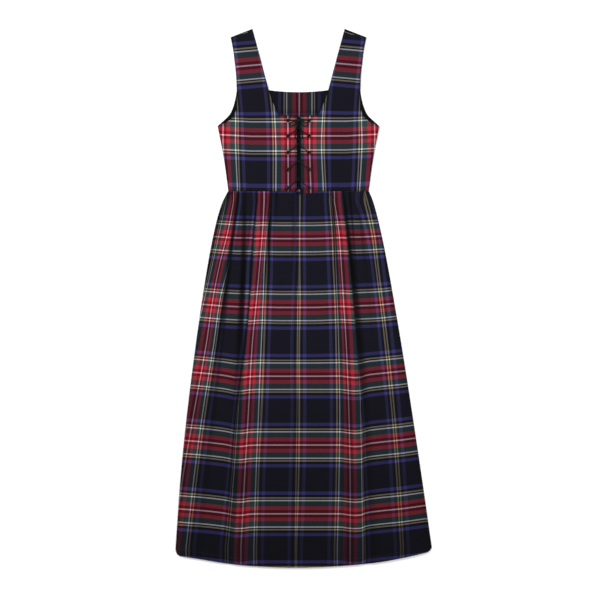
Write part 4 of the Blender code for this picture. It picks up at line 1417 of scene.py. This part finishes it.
def lace_material(name, colour):
    """Braided cord: two sets of strands that cross round it."""
    material, tree, shader = new_material(name, BRAID_FINISH)
    places = add_node(tree, "ShaderNodeUVMap", uv_map="Braid").outputs[0]
    around, along, _ = add_node(tree, "ShaderNodeSeparateXYZ", ((0, places),)).outputs
    turns = maths(tree, "MULTIPLY", around, BRAID_STRANDS)
    rising = maths(tree, "PINGPONG", maths(tree, "ADD", turns, along), 0.5)
    falling = maths(tree, "PINGPONG", maths(tree, "SUBTRACT", turns, along), 0.5)
    strands = maths(tree, "MULTIPLY", maths(tree, "MAXIMUM", rising, falling), 2.0)
    tree.links.new(varied(tree, strands, colour, BRAID_SPREAD), shader.inputs["Base Color"])
    tree.links.new(bump(tree, strands, *BRAID_BUMP), shader.inputs["Normal"])
    return material


def smooth_material(name, colour, finish):
    """A plain finish with a slightly uneven colour."""
    material, tree, shader = new_material(name, finish)
    part = maths(tree, "MULTIPLY_ADD", noise_map(tree, None, *WEAR), *WEAR_PART)
    tree.links.new(varied(tree, part, colour, WEAR_SPREAD), shader.inputs["Base Color"])
    return material


# Camera, room and pieces

def add_camera():
    camera = bpy.data.objects.new("camera", bpy.data.cameras.new("camera"))
    bpy.context.collection.objects.link(camera)
    camera.location = CAMERA_PLACE
    camera.data.lens = CAMERA_LENS
    camera.data.sensor_width = CAMERA_SENSOR
    bpy.context.scene.camera = camera


def add_light(name, place, width, power):
    """A square lamp that points at the dress."""
    lamp = bpy.data.lights.new(name, "AREA")
    lamp.shape = "SQUARE"
    lamp.size = width
    lamp.energy = power
    lamp.color = WHITE
    light = bpy.data.objects.new(name, lamp)
    light.location = place
    light.rotation_euler = (-Vector(place)).to_track_quat("-Z", "Y").to_euler()
    bpy.context.collection.objects.link(light)


def add_room():
    material, _, shader = new_material("backdrop", STAGE_FINISH)
    shader.inputs["Base Color"].default_value = (*STAGE_COLOUR, 1.0)
    corners = [(x * STAGE_HALF, y * STAGE_HALF, 0.0) for x, y in BOX_CORNERS]
    add_mesh("floor", corners, [(0, 1, 2, 3)], material)
    for light in (KEY_LIGHT, FILL_LIGHT):
        add_light(*light)
    room = bpy.data.worlds.new("room")
    room.use_nodes = True
    background = room.node_tree.nodes["Background"]
    background.inputs["Color"].default_value = (*WHITE, 1.0)
    background.inputs["Strength"].default_value = ROOM_LIGHT
    bpy.context.scene.world = room
    bpy.context.scene.view_settings.view_transform = "Standard"


def make_cords(lace, tip):
    """The lace's two free ends, from under the knot down both sides of the slit."""
    for word, route in (("left", LEFT_END_ROUTE), ("right", RIGHT_END_ROUTE)):
        piece = make_tube(f"lace_tail_{word}", smooth_route(in_metres(route)), lace, tip)
        wear(piece, f"lace_end_{word}")
        line = [tuple(world(*point)) for point in in_metres(route)]
        length = sum(math.dist(a, b) for a, b in zip(line, line[1:]))
        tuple(line[0])


def make_lacing(lace, metal):
    for side, word in ((-1, "left"), (1, "right")):
        for k, fall in enumerate(EYELET_FALLS, start=1):
            ring = make_eyelet(f"ring_{word}_{k}", side * EYELET_X, fall, metal)
            wear(ring, f"eyelet_{word}_{k}")
    crossing_under = LACE_OVER_Z - 2 * LACE_RADIUS - STRAND_CLEARANCE
    for side, word, height in ((-1, "left", LACE_OVER_Z), (1, "right", crossing_under)):
        strand = make_tube(f"strand_{word}", smooth_route(strand_route(side, height)), lace)
        wear(strand, f"lace_strand_{word}")
        loop = make_tube(f"loop_{word}", smooth_route(in_metres(LOOP_ROUTE, -side)), lace)
        wear(loop, f"lace_loop_{word}")
    wear(make_knot(lace), "lace_knot")
    over = make_tube("knot_turn", smooth_route(in_metres(KNOT_TURN_ROUTE)), lace)
    wear(over, "lace_knot")


def make_cloth(tartan, plain, thread, pale_thread):
    back = make_bodice_back(tartan)
    wear(back, "bodice_back")
    skirt_back = make_skirt_back(tartan)
    wear(skirt_back, "skirt_back")
    for side, word in ((-1, "left"), (1, "right")):
        facing = make_facing(f"facing_{word}", side, plain)
        wear(facing, f"armhole_facing_{word}")
        front = make_bodice_front(f"front_bodice_{word}", side, tartan)
        wear(front, f"bodice_front_{word}")
        sewing = make_stitches(f"stitches_bodice_{word}", bodice_stitches(side), front_top, thread)
        marks = make_stitches(f"stitches_strap_{word}", strap_stitches(side), front_top, pale_thread)
        skirt = make_skirt_front(f"front_skirt_{word}", side, tartan)
        wear(skirt, f"skirt_front_{word}")
        hem = make_stitches(f"stitches_hem_{word}", hem_stitches(side), skirt_top, thread)
    underlay = make_underlay(plain)
    wear(underlay, "lacing_underlay")


def main():
    add_camera()
    lace = lace_material("lace_braid", LACE_BLACK)
    tip = smooth_material("lace_tip", TIP_BLUE, TIP_FINISH)
    make_cords(lace, tip)
    tartan = tartan_material("tartan_twill")
    plain = plain_cloth_material("black_lining", BLACK_CLOTH)
    metal = smooth_material("gunmetal", DARK_METAL, METAL_FINISH)
    thread = smooth_material("black_thread", THREAD_BLACK, THREAD_FINISH)
    pale_thread = smooth_material("pale_thread", THREAD_PALE, THREAD_FINISH)
    make_cloth(tartan, plain, thread, pale_thread)
    make_lacing(lace, metal)
    add_room()


main()
